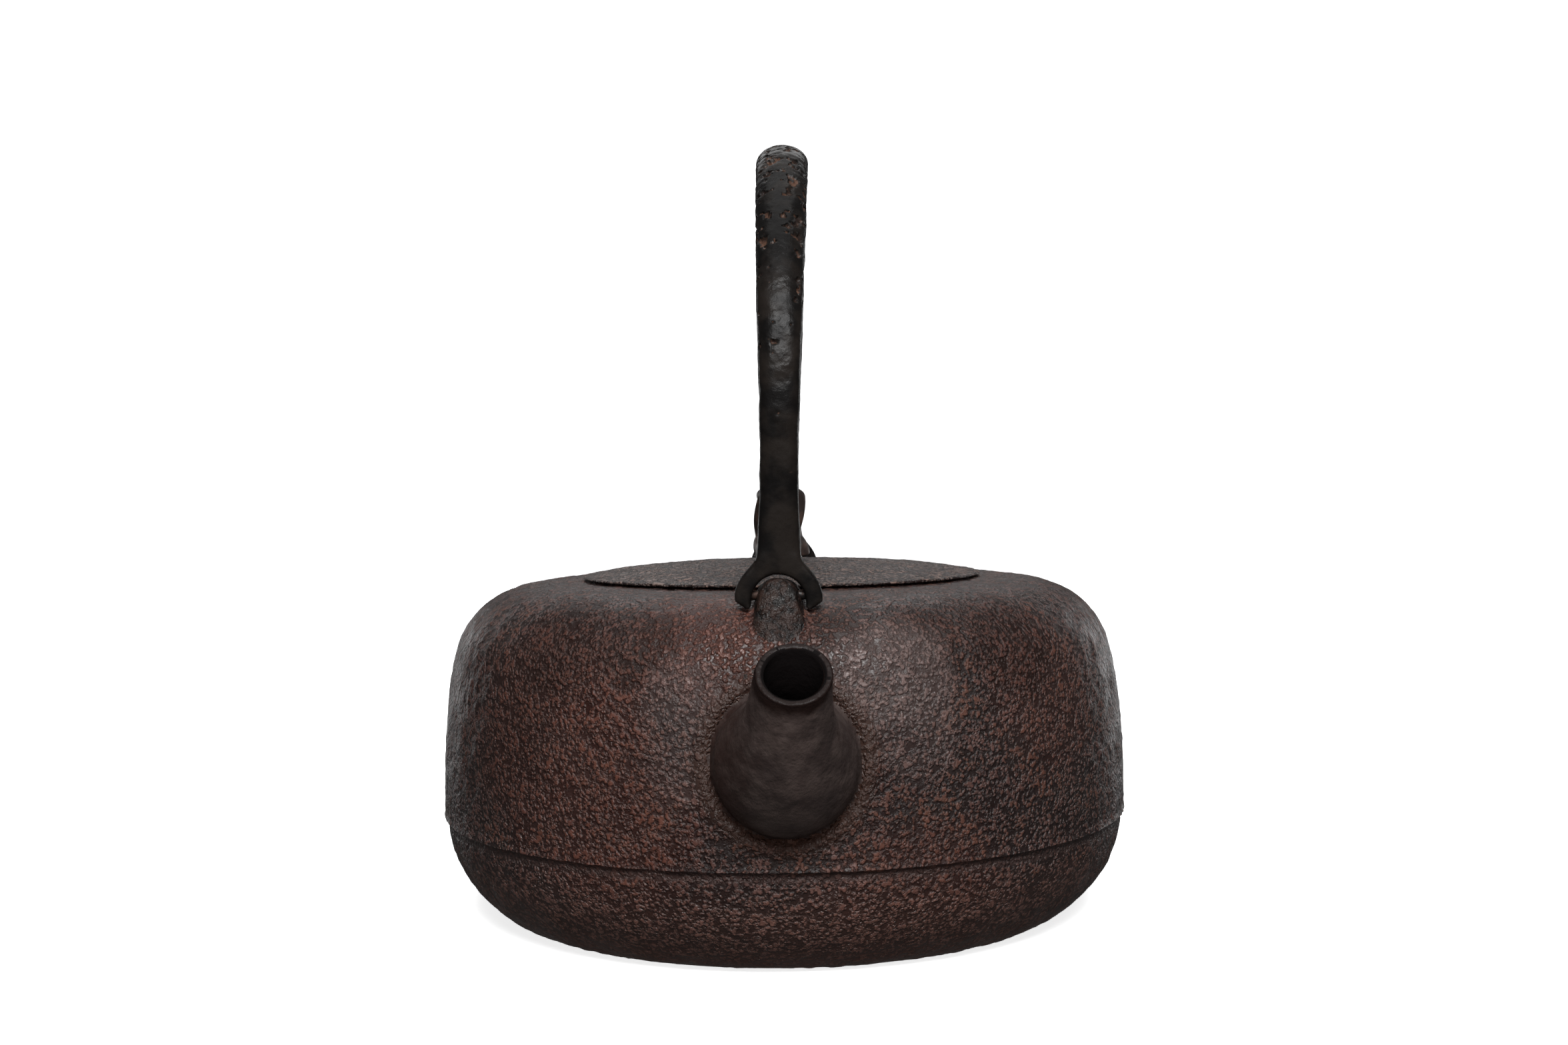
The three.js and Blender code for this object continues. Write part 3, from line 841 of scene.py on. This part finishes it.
def pits(tree, place):
    """1 in the worm-like pits of the upper bail, 0 elsewhere."""
    depth = tree.noise(tree.warped(place, 2.5, 2.5), 3.0)
    height = tree.parts(place)[2]
    level = tree.ramp(height, BAIL_SPRING + 10, BAIL_HIGH[2] - 16, 0.7, 0.55)
    return tree.ramp(tree.minus(depth, level), 0, 0.05)


def handle():
    front = fork_plate()
    bail = join([bail_tube(), front, half_turn(front)])
    remesh(bail, BAIL_VOXEL, 3)
    relax(bail, np.clip(1.4 - np.abs(vertex_places(bail)[:, 2] - FORK_TOP) / 4, 0, 1), 12)
    cut = revolve("shoulder_cut", body_outline(HOLE_GAP * 1.5, 2.0), 200)
    combine(bail, "DIFFERENCE", cut)
    drill_pin_holes(bail)
    height = vertex_places(bail)[:, 2]
    give_attribute(bail, "skin", 0.35 + 0.65 * smoothstep(height, FORK_TOP, FORK_TOP + 20))
    displace(bail, forged_height)
    mark_wear(bail, 0.03, 0.09)
    pivot = Matrix.Translation((0, 0, PIN_HEIGHT * MM))
    bail.data.transform(pivot @ Matrix.Rotation(BAIL_LEAN, 4, "Y") @ pivot.inverted())
    return bail


# ---- lid, knob and small pieces

def lid_piece():
    edge = LID_RADIUS - LID_EDGE / 2
    top = bezier(
        (edge, LID_RIM + LID_EDGE), (LID_RADIUS - 14, LID_APEX - 0.8),
        (LID_RADIUS / 2, LID_APEX), (LID_HOLE, LID_APEX),
    )
    rim = arc((edge, LID_RIM + LID_EDGE / 2), LID_EDGE / 2, -90, 90, 7)
    under = bezier(
        (LID_HOLE, LID_UNDERSIDE), (SKIRT_INNER * 0.6, LID_UNDERSIDE),
        (SKIRT_INNER - 2, LID_UNDERSIDE - 0.9), (SKIRT_INNER, LID_UNDERSIDE - 3),
    )
    skirt = [
        (SKIRT_INNER, SKIRT_BOTTOM + 0.4), (SKIRT_INNER + 0.4, SKIRT_BOTTOM),
        (SKIRT_OUTER - 0.5, SKIRT_BOTTOM), (SKIRT_OUTER, SKIRT_BOTTOM + 0.5), (SKIRT_OUTER, LID_RIM),
    ]
    outline = chain(
        spaced(under, 2.5), skirt, spaced([skirt[-1], (edge, LID_RIM)], 2), rim,
        spaced(top, LID_STEP), [(LID_HOLE, LID_UNDERSIDE)],
    )[:-1]
    piece = revolve("lid_casting", outline, LID_AROUND)
    x, y, z = vertex_places(piece).T
    radius = np.hypot(x, y)
    top = (z > LID_RIM + LID_EDGE / 2) * smoothstep(radius, LID_HOLE + 1, LID_HOLE + 4)
    fitted = (z < LID_RIM + 0.1) | (radius < LID_HOLE + 0.2)
    give_attribute(piece, "skin", np.where(fitted, -1.0, top))
    return displace(piece, cast_height)


RIB_COUNT = 5
RIB_TWIST = radians(4.8)
KNOB_BOTTOM = 92.1
KNOB_TOP = KNOB_HIGH[2] + 0.8
KNOB_FOOT = 7.2
KNOB_WAIST = 6.0
KNOB_WAIST_HEIGHT = 97.2
KNOB_BULGE = 6.3
KNOB_OFFSET = -0.4


def knob_outline():
    foot = bezier(
        (KNOB_FOOT - 0.5, KNOB_BOTTOM), (KNOB_FOOT + 0.4, KNOB_BOTTOM + 0.2),
        (KNOB_FOOT - 0.1, KNOB_BOTTOM + 3.2), (KNOB_WAIST, KNOB_WAIST_HEIGHT),
    )
    bulge = (KNOB_BULGE, KNOB_TOP - 3.2)
    rise = bezier(
        foot[-1], (KNOB_WAIST - 0.1, KNOB_WAIST_HEIGHT + 1), (KNOB_BULGE + 0.1, KNOB_TOP - 10), bulge,
    )
    top = bezier(bulge, (KNOB_BULGE, KNOB_TOP - 1.2), (KNOB_BULGE - 2.2, KNOB_TOP), (0, KNOB_TOP))
    side = [spaced(part, 0.25) for part in (foot, rise, top)]
    return chain([(0, KNOB_BOTTOM), (3, KNOB_BOTTOM)], *side)


def knob_piece():
    """A ribbed bud whose ribs wind up it, with its shank and peened foot."""
    bud = revolve("knob_bud", knob_outline(), 150)
    places = vertex_places(bud)
    x, y, z = places.T
    angle = np.arctan2(y, x) - RIB_TWIST * (z - KNOB_BOTTOM)
    fade = smoothstep(np.hypot(x, y), 0, KNOB_WAIST)
    rib = 1 - np.abs(np.sin(RIB_COUNT * angle / 2)) ** 1.3
    swell = 1 + fade * (0.24 * rib - 0.12)
    places[:, :2] *= swell[:, None]
    places[:, 0] += KNOB_OFFSET
    move_vertices(bud, places)
    foot = KNOB_LOW[2]
    shank = revolve("shank", [
        (0, foot), (1.6, foot), (2.6, foot + 0.25), (3.2, foot + 0.9), (3.15, foot + 1.15),
        (1.7, foot + 1.25), (1.7, KNOB_BOTTOM + 2), (0, KNOB_BOTTOM + 2),
    ], 48)
    combine(bud, "UNION", shank)
    return dent(bud, 0.35)


def soft_side(radius, low, high, soft):
    """The side of a disc, with its edges rounded."""
    middle = radius - soft
    return chain(arc((middle, low + soft), soft, -90, 0, 5), arc((middle, high - soft), soft, 0, 90, 5))


def washer(name, box):
    """A flat ring with soft edges that fills a box."""
    low, high = box
    side = soft_side(high[0], low[2], high[2], 0.2)
    outline = chain([(LID_HOLE, low[2])], side, [(LID_HOLE, high[2])])
    return dent(revolve(name, outline, 96), 0.12)


def lug_pin(name, side):
    """A flush pin with hammered ends, along X."""
    domed = PIN_HALF - PIN_DOME
    pin = revolve(name, chain(
        [(0, -PIN_HALF)], soft_side(PIN_RADIUS, -domed, domed, 0.25), [(0, PIN_HALF)],
    ), 40)
    lay_across(pin, side)
    return dent(pin, 0.15)


# ---- materials

class Coat(Tree):
    """The tree of a new material."""

    def __init__(self, name):
        self.material = bpy.data.materials.new(name)
        self.material.use_nodes = True
        super().__init__(self.material.node_tree)
        self.shader = self.tree.nodes["Principled BSDF"]

    def look(self, colour, roughness, specular=0.5, metallic=0.0):
        names = ("Base Color", "Roughness", "Specular IOR Level", "Metallic")
        self.feed(self.shader, zip(names, (colour, roughness, specular, metallic)))

    def bump(self, height, distance, strength=1.0):
        """Relief too fine for the mesh, distance millimetres deep."""
        inputs = {"Height": height, "Distance": distance * MM, "Strength": strength}
        self.feed(self.shader, {"Normal": self.node("ShaderNodeBump", inputs).outputs[0]})


def new_coat(name):
    """A new material's tree, and the place before any relief or pose moved it."""
    tree = Coat(name)
    return tree, tree.attribute("rest", "Vector")


# Patches on the body: middle, size and strength.
RUST_SPOTS = (
    ((-14, -80, 80), 17, 0.9),
    ((-52, -70, 55), 24, 0.75),
    ((-40, -80, 36), 18, 0.7),
    ((62, -60, 62), 16, 0.5),
    ((30, -85, 14), 20, 0.5),
    ((-30, 80, 60), 26, 0.6),
    ((70, 50, 40), 24, 0.5),
)
# Smoother patches, less rough and less bumpy, whose lighter colour is a painted highlight.
SATIN_AND_HIGHLIGHT_SPOTS = (
    ((-21, -86, 64), 9, 0.4),
    ((26, -84, 70), 13, 0.6),
    ((30, -82, 56), 9, 0.3),
    ((-22, -86, 50), 7, 0.3),
    ((16, 84, 72), 14, 0.5),
)
# Dark patches of painted shade and soot. The painted shade is on the front of the upper wall, where the
# lit gloss ends, and on the left of the wall, which gets less light. The patches also lower the gloss.
SHADE_AND_SOOT_SPOTS = (
    ((-55, -66, 78), 14, 0.7),
    ((-34, -77, 78), 10, 0.6),
    ((55, -66, 78), 14, 0.7),
    ((34, -77, 78), 10, 0.6),
    ((14, -84, 78), 9, 0.6),
    ((-72, -48, 52), 24, 0.5),
    ((20, 82, 70), 20, 0.6),
)

# Colours of worn cast iron: dark, light and warm. The lid's are lighter and greyer, in part a painted
# sheen.
BODY_TONES = ((0.052, 0.023, 0.018), (0.078, 0.041, 0.035), (0.074, 0.03, 0.02))
LID_TONES_AND_SHEEN = ((0.09, 0.059, 0.05), (0.155, 0.114, 0.1), (0.15, 0.095, 0.077))


def spots(tree, place, table, ragged):
    """The strongest of several soft, ragged patches at each place."""
    total = 0.0
    for middle, size, strength in table:
        away = tree.scale_add(ragged, size, tree.vector("DISTANCE", place, middle))
        total = tree.math("MAXIMUM", total, tree.ramp(away, size * 0.75, size * 1.5, strength, 0.0))
    return total


def cast_colour(tree, place, height, tones):
    """Red-brown lacquer: near black in the pits, worn to the tones on the pebbles."""
    dark, light, rusty = tones
    drift = tree.noise(place, 24, 3, 0.6)
    tint = tree.noise(place, 9, 4, 0.6)
    worn = tree.mix(tree.ramp(drift, 0.3, 0.7), dark, light)
    warm = tree.mix(tree.ramp(tint, 0.45, 0.62), worn, rusty)
    deep = tree.mix(tree.ramp(drift, 0.4, 0.6), (0.009, 0.004, 0.0035), (0.011, 0.0062, 0.0055))
    return tree.mix(tree.ramp(height, 0.1, 0.85), deep, warm)


def cast_skin():
    """The body's cast skin, with its patches."""
    tree, place = new_coat("cast_skin")
    colour, height, rough, relief = plain_skin(tree, place, BODY_TONES)
    ragged = tree.minus(tree.noise(place, 8, 3, 0.65), 0.5)
    shade_and_soot = spots(tree, place, SHADE_AND_SOOT_SPOTS, ragged)
    satin_and_highlight = spots(tree, place, SATIN_AND_HIGHLIGHT_SPOTS, ragged)
    colour = body_patches(tree, place, colour, height, ragged, shade_and_soot, satin_and_highlight)
    rough = tree.scale_add(satin_and_highlight, -0.16, rough)
    tree.look(colour, rough, tree.ramp(shade_and_soot, 0.0, 0.8, 0.5, 0.3))
    finish_skin(tree, place, tree.times(relief, tree.scale_add(satin_and_highlight, -0.4, 1.0)), 0.6)
    return tree


def lid_skin():
    """The lid's cast skin, greyer and rougher than the body's; its lighter, greyer colour is in part a
    painted sheen.
    """
    tree, place = new_coat("lid_skin")
    colour, _, rough, relief = plain_skin(tree, place, LID_TONES_AND_SHEEN)
    tree.look(colour, rough)
    finish_skin(tree, place, relief, 1.0)
    return tree


def plain_skin(tree, place, tones):
    """What both cast skins start from: colour, grain height, roughness and relief."""
    plateau = grain(tree, place)
    fine = tree.noise(place, 0.5, 2, 0.6)
    height = tree.times(plateau, tree.ramp(fine, 0.32, 0.62, 0.55, 1.0))
    colour = cast_colour(tree, place, height, tones)
    rough = tree.ramp(tree.noise(place, 9), 0.3, 0.7, 0.34, 0.5)
    relief = tree.scale_add(plateau, 0.8, tree.times(fine, 0.22))
    return colour, height, rough, relief


def finish_skin(tree, place, relief, depth):
    """Adds small lumps to the grain's relief and makes both its bump."""
    tree.bump(tree.scale_add(tree.noise(place, 3.0, 1.5, 0.5), 0.7, relief), depth)


def body_patches(tree, place, colour, height, ragged, shade_and_soot, satin_and_highlight):
    """Rust, soot and painted shade, smoother patches with a painted highlight, the bowl lightened by
    painted light, the ridge band and the smooth border round the spout.
    """
    rust = tree.mix(height, (0.026, 0.008, 0.0055), (0.095, 0.031, 0.019))
    colour = tree.mix(tree.times(spots(tree, place, RUST_SPOTS, ragged), 0.85), colour, rust)
    # Painted shade and soot: a darker colour in the dark patches.
    colour = tree.mix(shade_and_soot, colour, tree.mix(height, (0.01, 0.005, 0.004), (0.05, 0.021, 0.016)))
    # Painted highlight: a lighter colour on the smoother patches.
    colour = tree.mix(satin_and_highlight, colour, tree.mix(height, (0.05, 0.034, 0.031), (0.125, 0.092, 0.086)))
    level = tree.parts(place)[2]
    # The bowl's redder tone, made lighter by painted light bounced up from the floor. Near the base it
    # runs darker and redder.
    bowl = tree.ramp(tree.scale_add(ragged, 10.0, level), 12, 26, 0.65, 0.0)
    colour = tree.mix(bowl, colour, tree.mix(height, (0.036, 0.016, 0.012), (0.17, 0.084, 0.066)))
    low = tree.ramp(tree.scale_add(ragged, 6.0, level), 1, 9, 0.7, 0.0)
    colour = tree.mix(low, colour, (0.068, 0.029, 0.022))
    off_band = tree.minus(tree.scale_add(ragged, 2.4, level), RIDGE_HEIGHT - 1.6)
    band = tree.ramp(tree.math("ABSOLUTE", off_band), 0.5, 1.5, 0.7, 0.0)
    colour = tree.mix(band, colour, (0.04, 0.023, 0.02))
    inputs = {"Vector": place, "Angle": -SPOUT_TURN}
    turned = tree.node("ShaderNodeVectorRotate", inputs, rotation_type="Z_AXIS")
    x, y, z = tree.parts(turned.outputs[0])
    rise = tree.minus(z, SPOUT_ROOT_HEIGHT)
    away = tree.math("SQRT", tree.math("ADD", tree.times(x, x), tree.times(rise, rise)))
    away = tree.scale_add(ragged, 3.0, away)
    ring = tree.ramp(away, SPOUT_ROOT_RADIUS + 2, SPOUT_ROOT_RADIUS + 6.5, 0.8, 0.0)
    border = tree.times(ring, tree.ramp(y, -70, -60, 1.0, 0.0))
    return tree.mix(border, colour, (0.034, 0.016, 0.011))


def spout_lacquer():
    """Hand-smoothed casting under lacquer: painted shade, dark and red, on the left, and dark at the
    lip.
    """
    tree, place = new_coat("spout_lacquer")
    x, y, z = tree.parts(place)
    drift = tree.noise(place, 6, 3, 0.6)
    colour = tree.mix(tree.ramp(drift, 0.36, 0.66), (0.025, 0.017, 0.0155), (0.046, 0.0325, 0.029))
    # Painted shade: the left of the spout, darker and redder.
    left = tree.ramp(tree.scale_add(drift, 10.0, x), -9, 3, 0.75, 0.0)
    colour = tree.mix(left, colour, (0.018, 0.008, 0.006))
    reach, height, _, _, lean = SPOUT_SECTIONS[-1]
    out, up = cos(radians(lean)), sin(radians(lean))
    past = tree.scale_add(y, -out, tree.scale_add(z, up, -reach * out - height * up))
    lip = tree.ramp(tree.scale_add(drift, 5.0, past), -0.8, 1.8)
    colour = tree.mix(lip, colour, (0.008, 0.0042, 0.0035))
    rubbed = tree.times(tree.attribute("wear"), tree.ramp(tree.noise(place, 2.5, 2, 0.6), 0.42, 0.62))
    colour = tree.mix(rubbed, colour, (0.03, 0.016, 0.012))
    rough = tree.ramp(tree.noise(place, 3), 0.3, 0.7, 0.4, 0.56)
    tree.look(colour, rough, tree.ramp(lip, 0, 1, 0.35, 0.12))
    tree.bump(tree.scale_add(tree.noise(place, 0.8, 2, 0.6), 0.3, tree.noise(place, 2.4)), 0.4)
    return tree


def lug_crust():
    """Crusty brown casting on the lugs, rubbed to dark iron in places."""
    tree, place = new_coat("lug_crust")
    crust = tree.noise(tree.warped(place, 1.5, 1.2), 1.6, 3, 0.65)
    drift = tree.noise(place, 4, 2, 0.6)
    brown = tree.mix(tree.ramp(crust, 0.36, 0.6), (0.004, 0.0025, 0.0022), (0.021, 0.0115, 0.009))
    iron = tree.mix(tree.ramp(crust, 0.34, 0.6), (0.0045, 0.004, 0.004), (0.016, 0.0145, 0.014))
    colour = tree.mix(tree.ramp(drift, 0.34, 0.5), iron, brown)
    tree.look(colour, tree.ramp(drift, 0.35, 0.6, 0.3, 0.5), 0.22)
    tree.bump(crust, 1.0)
    return tree


def interior_iron():
    """Bare iron inside, with brown water stains, and painted shade, near black, in the spout."""
    tree, place = new_coat("interior_iron")
    stain = tree.noise(place, 12, 4, 0.65)
    colour = tree.mix(tree.ramp(stain, 0.45, 0.6), (0.04, 0.036, 0.034), (0.14, 0.055, 0.024))
    # Painted shade: near black inside the spout.
    spout_shade = tree.ramp(tree.parts(place)[1], -86, -80, 1.0, 0.0)
    tree.look(tree.mix(spout_shade, colour, (0.004, 0.003, 0.003)), 0.8, 0.06)
    tree.bump(tree.noise(place, 1.4, 3, 0.6), 0.3, 0.7)
    return tree


def forged_lacquer():
    """Black baked lacquer on forged iron, with brown in the pits."""
    tree, place = new_coat("forged_lacquer")
    drift = tree.noise(place, 9, 3, 0.6)
    black = tree.mix(tree.ramp(drift, 0.4, 0.65), (0.004, 0.0036, 0.0035), (0.011, 0.0088, 0.0076))
    black = tree.mix(tree.times(tree.attribute("wear"), 0.6), black, (0.06, 0.056, 0.054))
    rusty = tree.ramp(tree.noise(place, 3.5, 2, 0.6), 0.42, 0.62)
    brown = tree.mix(rusty, (0.016, 0.011, 0.0095), (0.066, 0.035, 0.024))
    rough = tree.ramp(tree.noise(place, 4, 3, 0.6), 0.3, 0.7, 0.26, 0.4)
    tree.look(tree.mix(pits(tree, place), black, brown), rough, 0.09)
    tree.bump(tree.noise(place, 1.2, 3, 0.6), 0.16, 0.7)
    return tree


def dark_bronze():
    """Brown patinated bronze, rubbed lighter in patches."""
    tree, place = new_coat("dark_bronze")
    rubbed = tree.ramp(tree.noise(place, 4, 3, 0.6), 0.4, 0.66)
    colour = tree.mix(rubbed, (0.026, 0.018, 0.016), (0.075, 0.046, 0.036))
    tree.look(colour, tree.ramp(rubbed, 0, 1, 0.46, 0.34), metallic=0.35)
    tree.bump(tree.noise(place, 1.0, 3, 0.6), 0.1, 0.5)
    return tree


def bare_iron():
    """Dark oxidised iron for pins and washers."""
    tree, place = new_coat("bare_iron")
    rust = tree.ramp(tree.noise(place, 2.5, 3, 0.6), 0.5, 0.64)
    colour = tree.mix(rust, (0.014, 0.0125, 0.012), (0.04, 0.02, 0.014))
    tree.look(colour, tree.ramp(rust, 0, 1, 0.42, 0.65), metallic=0.5)
    tree.bump(tree.noise(place, 0.7, 3, 0.6), 0.08, 0.6)
    return tree


# ---- stage

CAMERA_DISTANCE = 494.4
CAMERA_HEIGHT = 116.5
CAMERA_SIDE = 0.8
CAMERA_TURN = radians(0.5)
CAMERA_PITCH = radians(1.8)
CAMERA_ROLL = radians(-0.75)
CAMERA_LENS = 42.4


def add_camera():
    data = bpy.data.cameras.new("camera")
    data.lens = CAMERA_LENS
    camera = add_object("camera", data)
    place = Vector((CAMERA_SIDE, -CAMERA_DISTANCE, CAMERA_HEIGHT)) * MM
    turn = Matrix.Rotation(CAMERA_TURN, 4, "Z")
    tilt = Matrix.Rotation(pi / 2 - CAMERA_PITCH, 4, "X")
    roll = Matrix.Rotation(CAMERA_ROLL, 4, "Z")
    camera.matrix_world = turn @ Matrix.Translation(place) @ tilt @ roll
    bpy.context.scene.camera = camera


# Softboxes: place, size and power.
LIGHTS = (
    ("key", (0.09, -1.0, 1.05), (0.8, 0.45), 28),
    ("overhead", (0, 0.1, 1.2), (1.0, 1.0), 4),
    ("rim_left", (-0.75, 1.1, 0.12), (0.3, 0.5), 1.0),
    ("rim_right", (0.75, 1.1, 0.12), (0.3, 0.5), 1.2),
    ("back", (-0.05, 1.3, 0.9), (0.9, 0.6), 2.1),
)
# Low lights that leave no gloss: where they are along Y, and power.
FILLS = (("front_fill", -1.3, 7), ("rear_fill", 1.3, 6))
FILL_HEIGHT = 0.15
FILL_SIZE = (1.0, 0.4)
LIGHT_TARGET = Vector((0, 0, 0.07))
SKY_STRENGTH = 0.08


def add_light(name, place, size, power):
    data = bpy.data.lights.new(name, "AREA")
    light = add_object(name, data)
    configure(data, shape="RECTANGLE", size=size[0], size_y=size[1], energy=power)
    light.location = place
    light.rotation_euler = (LIGHT_TARGET - Vector(place)).to_track_quat("-Z", "Y").to_euler()
    return light


def add_floor():
    """A wide pale floor that rises behind the kettle, in metres. The kettle doesn't reflect it."""
    width, front, back, bend, rise = 4.0, -2.5, 1.6, 0.6, 2.4
    turns = np.radians(np.arange(6, 91, 6))
    curve = [(back + bend * sin(turn), bend * (1 - cos(turn))) for turn in turns]
    side = [(front, 0.0), (back, 0.0), *curve, (back + bend, rise)]
    points = [(x, y, z) for y, z in side for x in (-width, width)]
    faces = [(i, i + 1, i + 3, i + 2) for i in range(0, 2 * len(side) - 2, 2)]
    floor = mesh_object("studio_floor", np.array(points) / MM, faces)
    tree = Coat("studio_white")
    tree.look((0.85, 0.85, 0.85, 1), 0.9, 0.0)
    far = tree.parts(tree.node("ShaderNodeNewGeometry").outputs["Position"])[1]
    glow = {"Emission Color": (1, 1, 1, 1), "Emission Strength": tree.ramp(far, 0.1, 0.7, 0.76, 1.0)}
    tree.feed(tree.shader, glow)
    floor.data.materials.append(tree.material)
    floor.visible_glossy = False
    floor.visible_diffuse = False


def light_stage():
    world = bpy.data.worlds.new("studio")
    world.use_nodes = True
    tree = Tree(world.node_tree)
    tree.feed(tree.tree.nodes["Background"], {"Color": (1, 1, 1, 1), "Strength": SKY_STRENGTH})
    scene = bpy.context.scene
    scene.world = world
    scene.view_settings.view_transform = "Standard"
    for name, place, size, power in LIGHTS:
        add_light(name, place, size, power)
    for name, along, power in FILLS:
        add_light(name, (0, along, FILL_HEIGHT), FILL_SIZE, power).visible_glossy = False


# ---- assembly

SHARP_ANGLE = radians(50)
# The casting's material slots after its cast skin.
SPOUT_SLOT, LUG_SLOT, INSIDE_SLOT = 1, 2, 3


def settle(piece, body, node, coat):
    """Says what a finished piece rides on, stands for and is made of."""
    piece.data.materials.clear()
    piece.data.materials.append(coat.material)
    piece.data.set_sharp_from_angle(angle=SHARP_ANGLE)
    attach(piece, body)
    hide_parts(node)


def paint_body(body):
    """Gives the casting's spout, lugs and inside their own finishes, face by face."""
    mesh = body.data
    for coat in (spout_lacquer(), lug_crust(), interior_iron()):
        mesh.materials.append(coat.material)
    centres = read_rows(mesh.polygons, "center") / MM
    normals = read_rows(mesh.polygons, "normal")
    x, y, z = centres.T
    radius = np.hypot(x, y)
    away, reach = spout_distance(centres)
    inside = (radius < hollow_radius(z) + 0.8) & (z > WALL - 0.5) & (z < SEAT[1] - 0.2)
    outer = (reach > 80) & (away < SPOUT_ROOT_RADIUS + 0.7) & (radius > hollow_radius(z) + 0.8)
    on_spout = outer | ((reach > RIDGE_RADIUS + 0.9) & (np.abs(x) < SPOUT_SIDE))
    slots = np.zeros(len(centres), np.int32)
    slots[on_spout] = SPOUT_SLOT
    slots[on_lug(centres, 0.5)] = LUG_SLOT
    spout_faces = np.flatnonzero(on_spout & (z < SPOUT_SECTIONS[-1][1] + 5))
    slots[spout_faces[in_bore(centres[spout_faces], normals[spout_faces])]] = INSIDE_SLOT
    slots[inside] = INSIDE_SLOT
    mesh.polygons.foreach_set("material_index", slots)


def build():
    add_camera()
    light_stage()
    add_floor()
    skin = cast_skin()
    iron = bare_iron()
    body = kettle_body()
    settle(body, "kettle", "kettle_body", skin)
    paint_body(body)
    settle(handle(), "kettle", "handle", forged_lacquer())
    settle(lug_pin("pin_front", -1), "kettle", "front_lug_pin", iron)
    settle(lug_pin("pin_rear", 1), "kettle", "rear_lug_pin", iron)
    settle(lid_piece(), "lid", "lid", lid_skin())
    settle(washer("seat_ring", SEAT_BOX), "lid", "knob_seat", iron)
    settle(washer("rivet_ring", RIVET_BOX), "lid", "rivet_washer", iron)
    settle(knob_piece(), "knob", "knob", dark_bronze())


build()
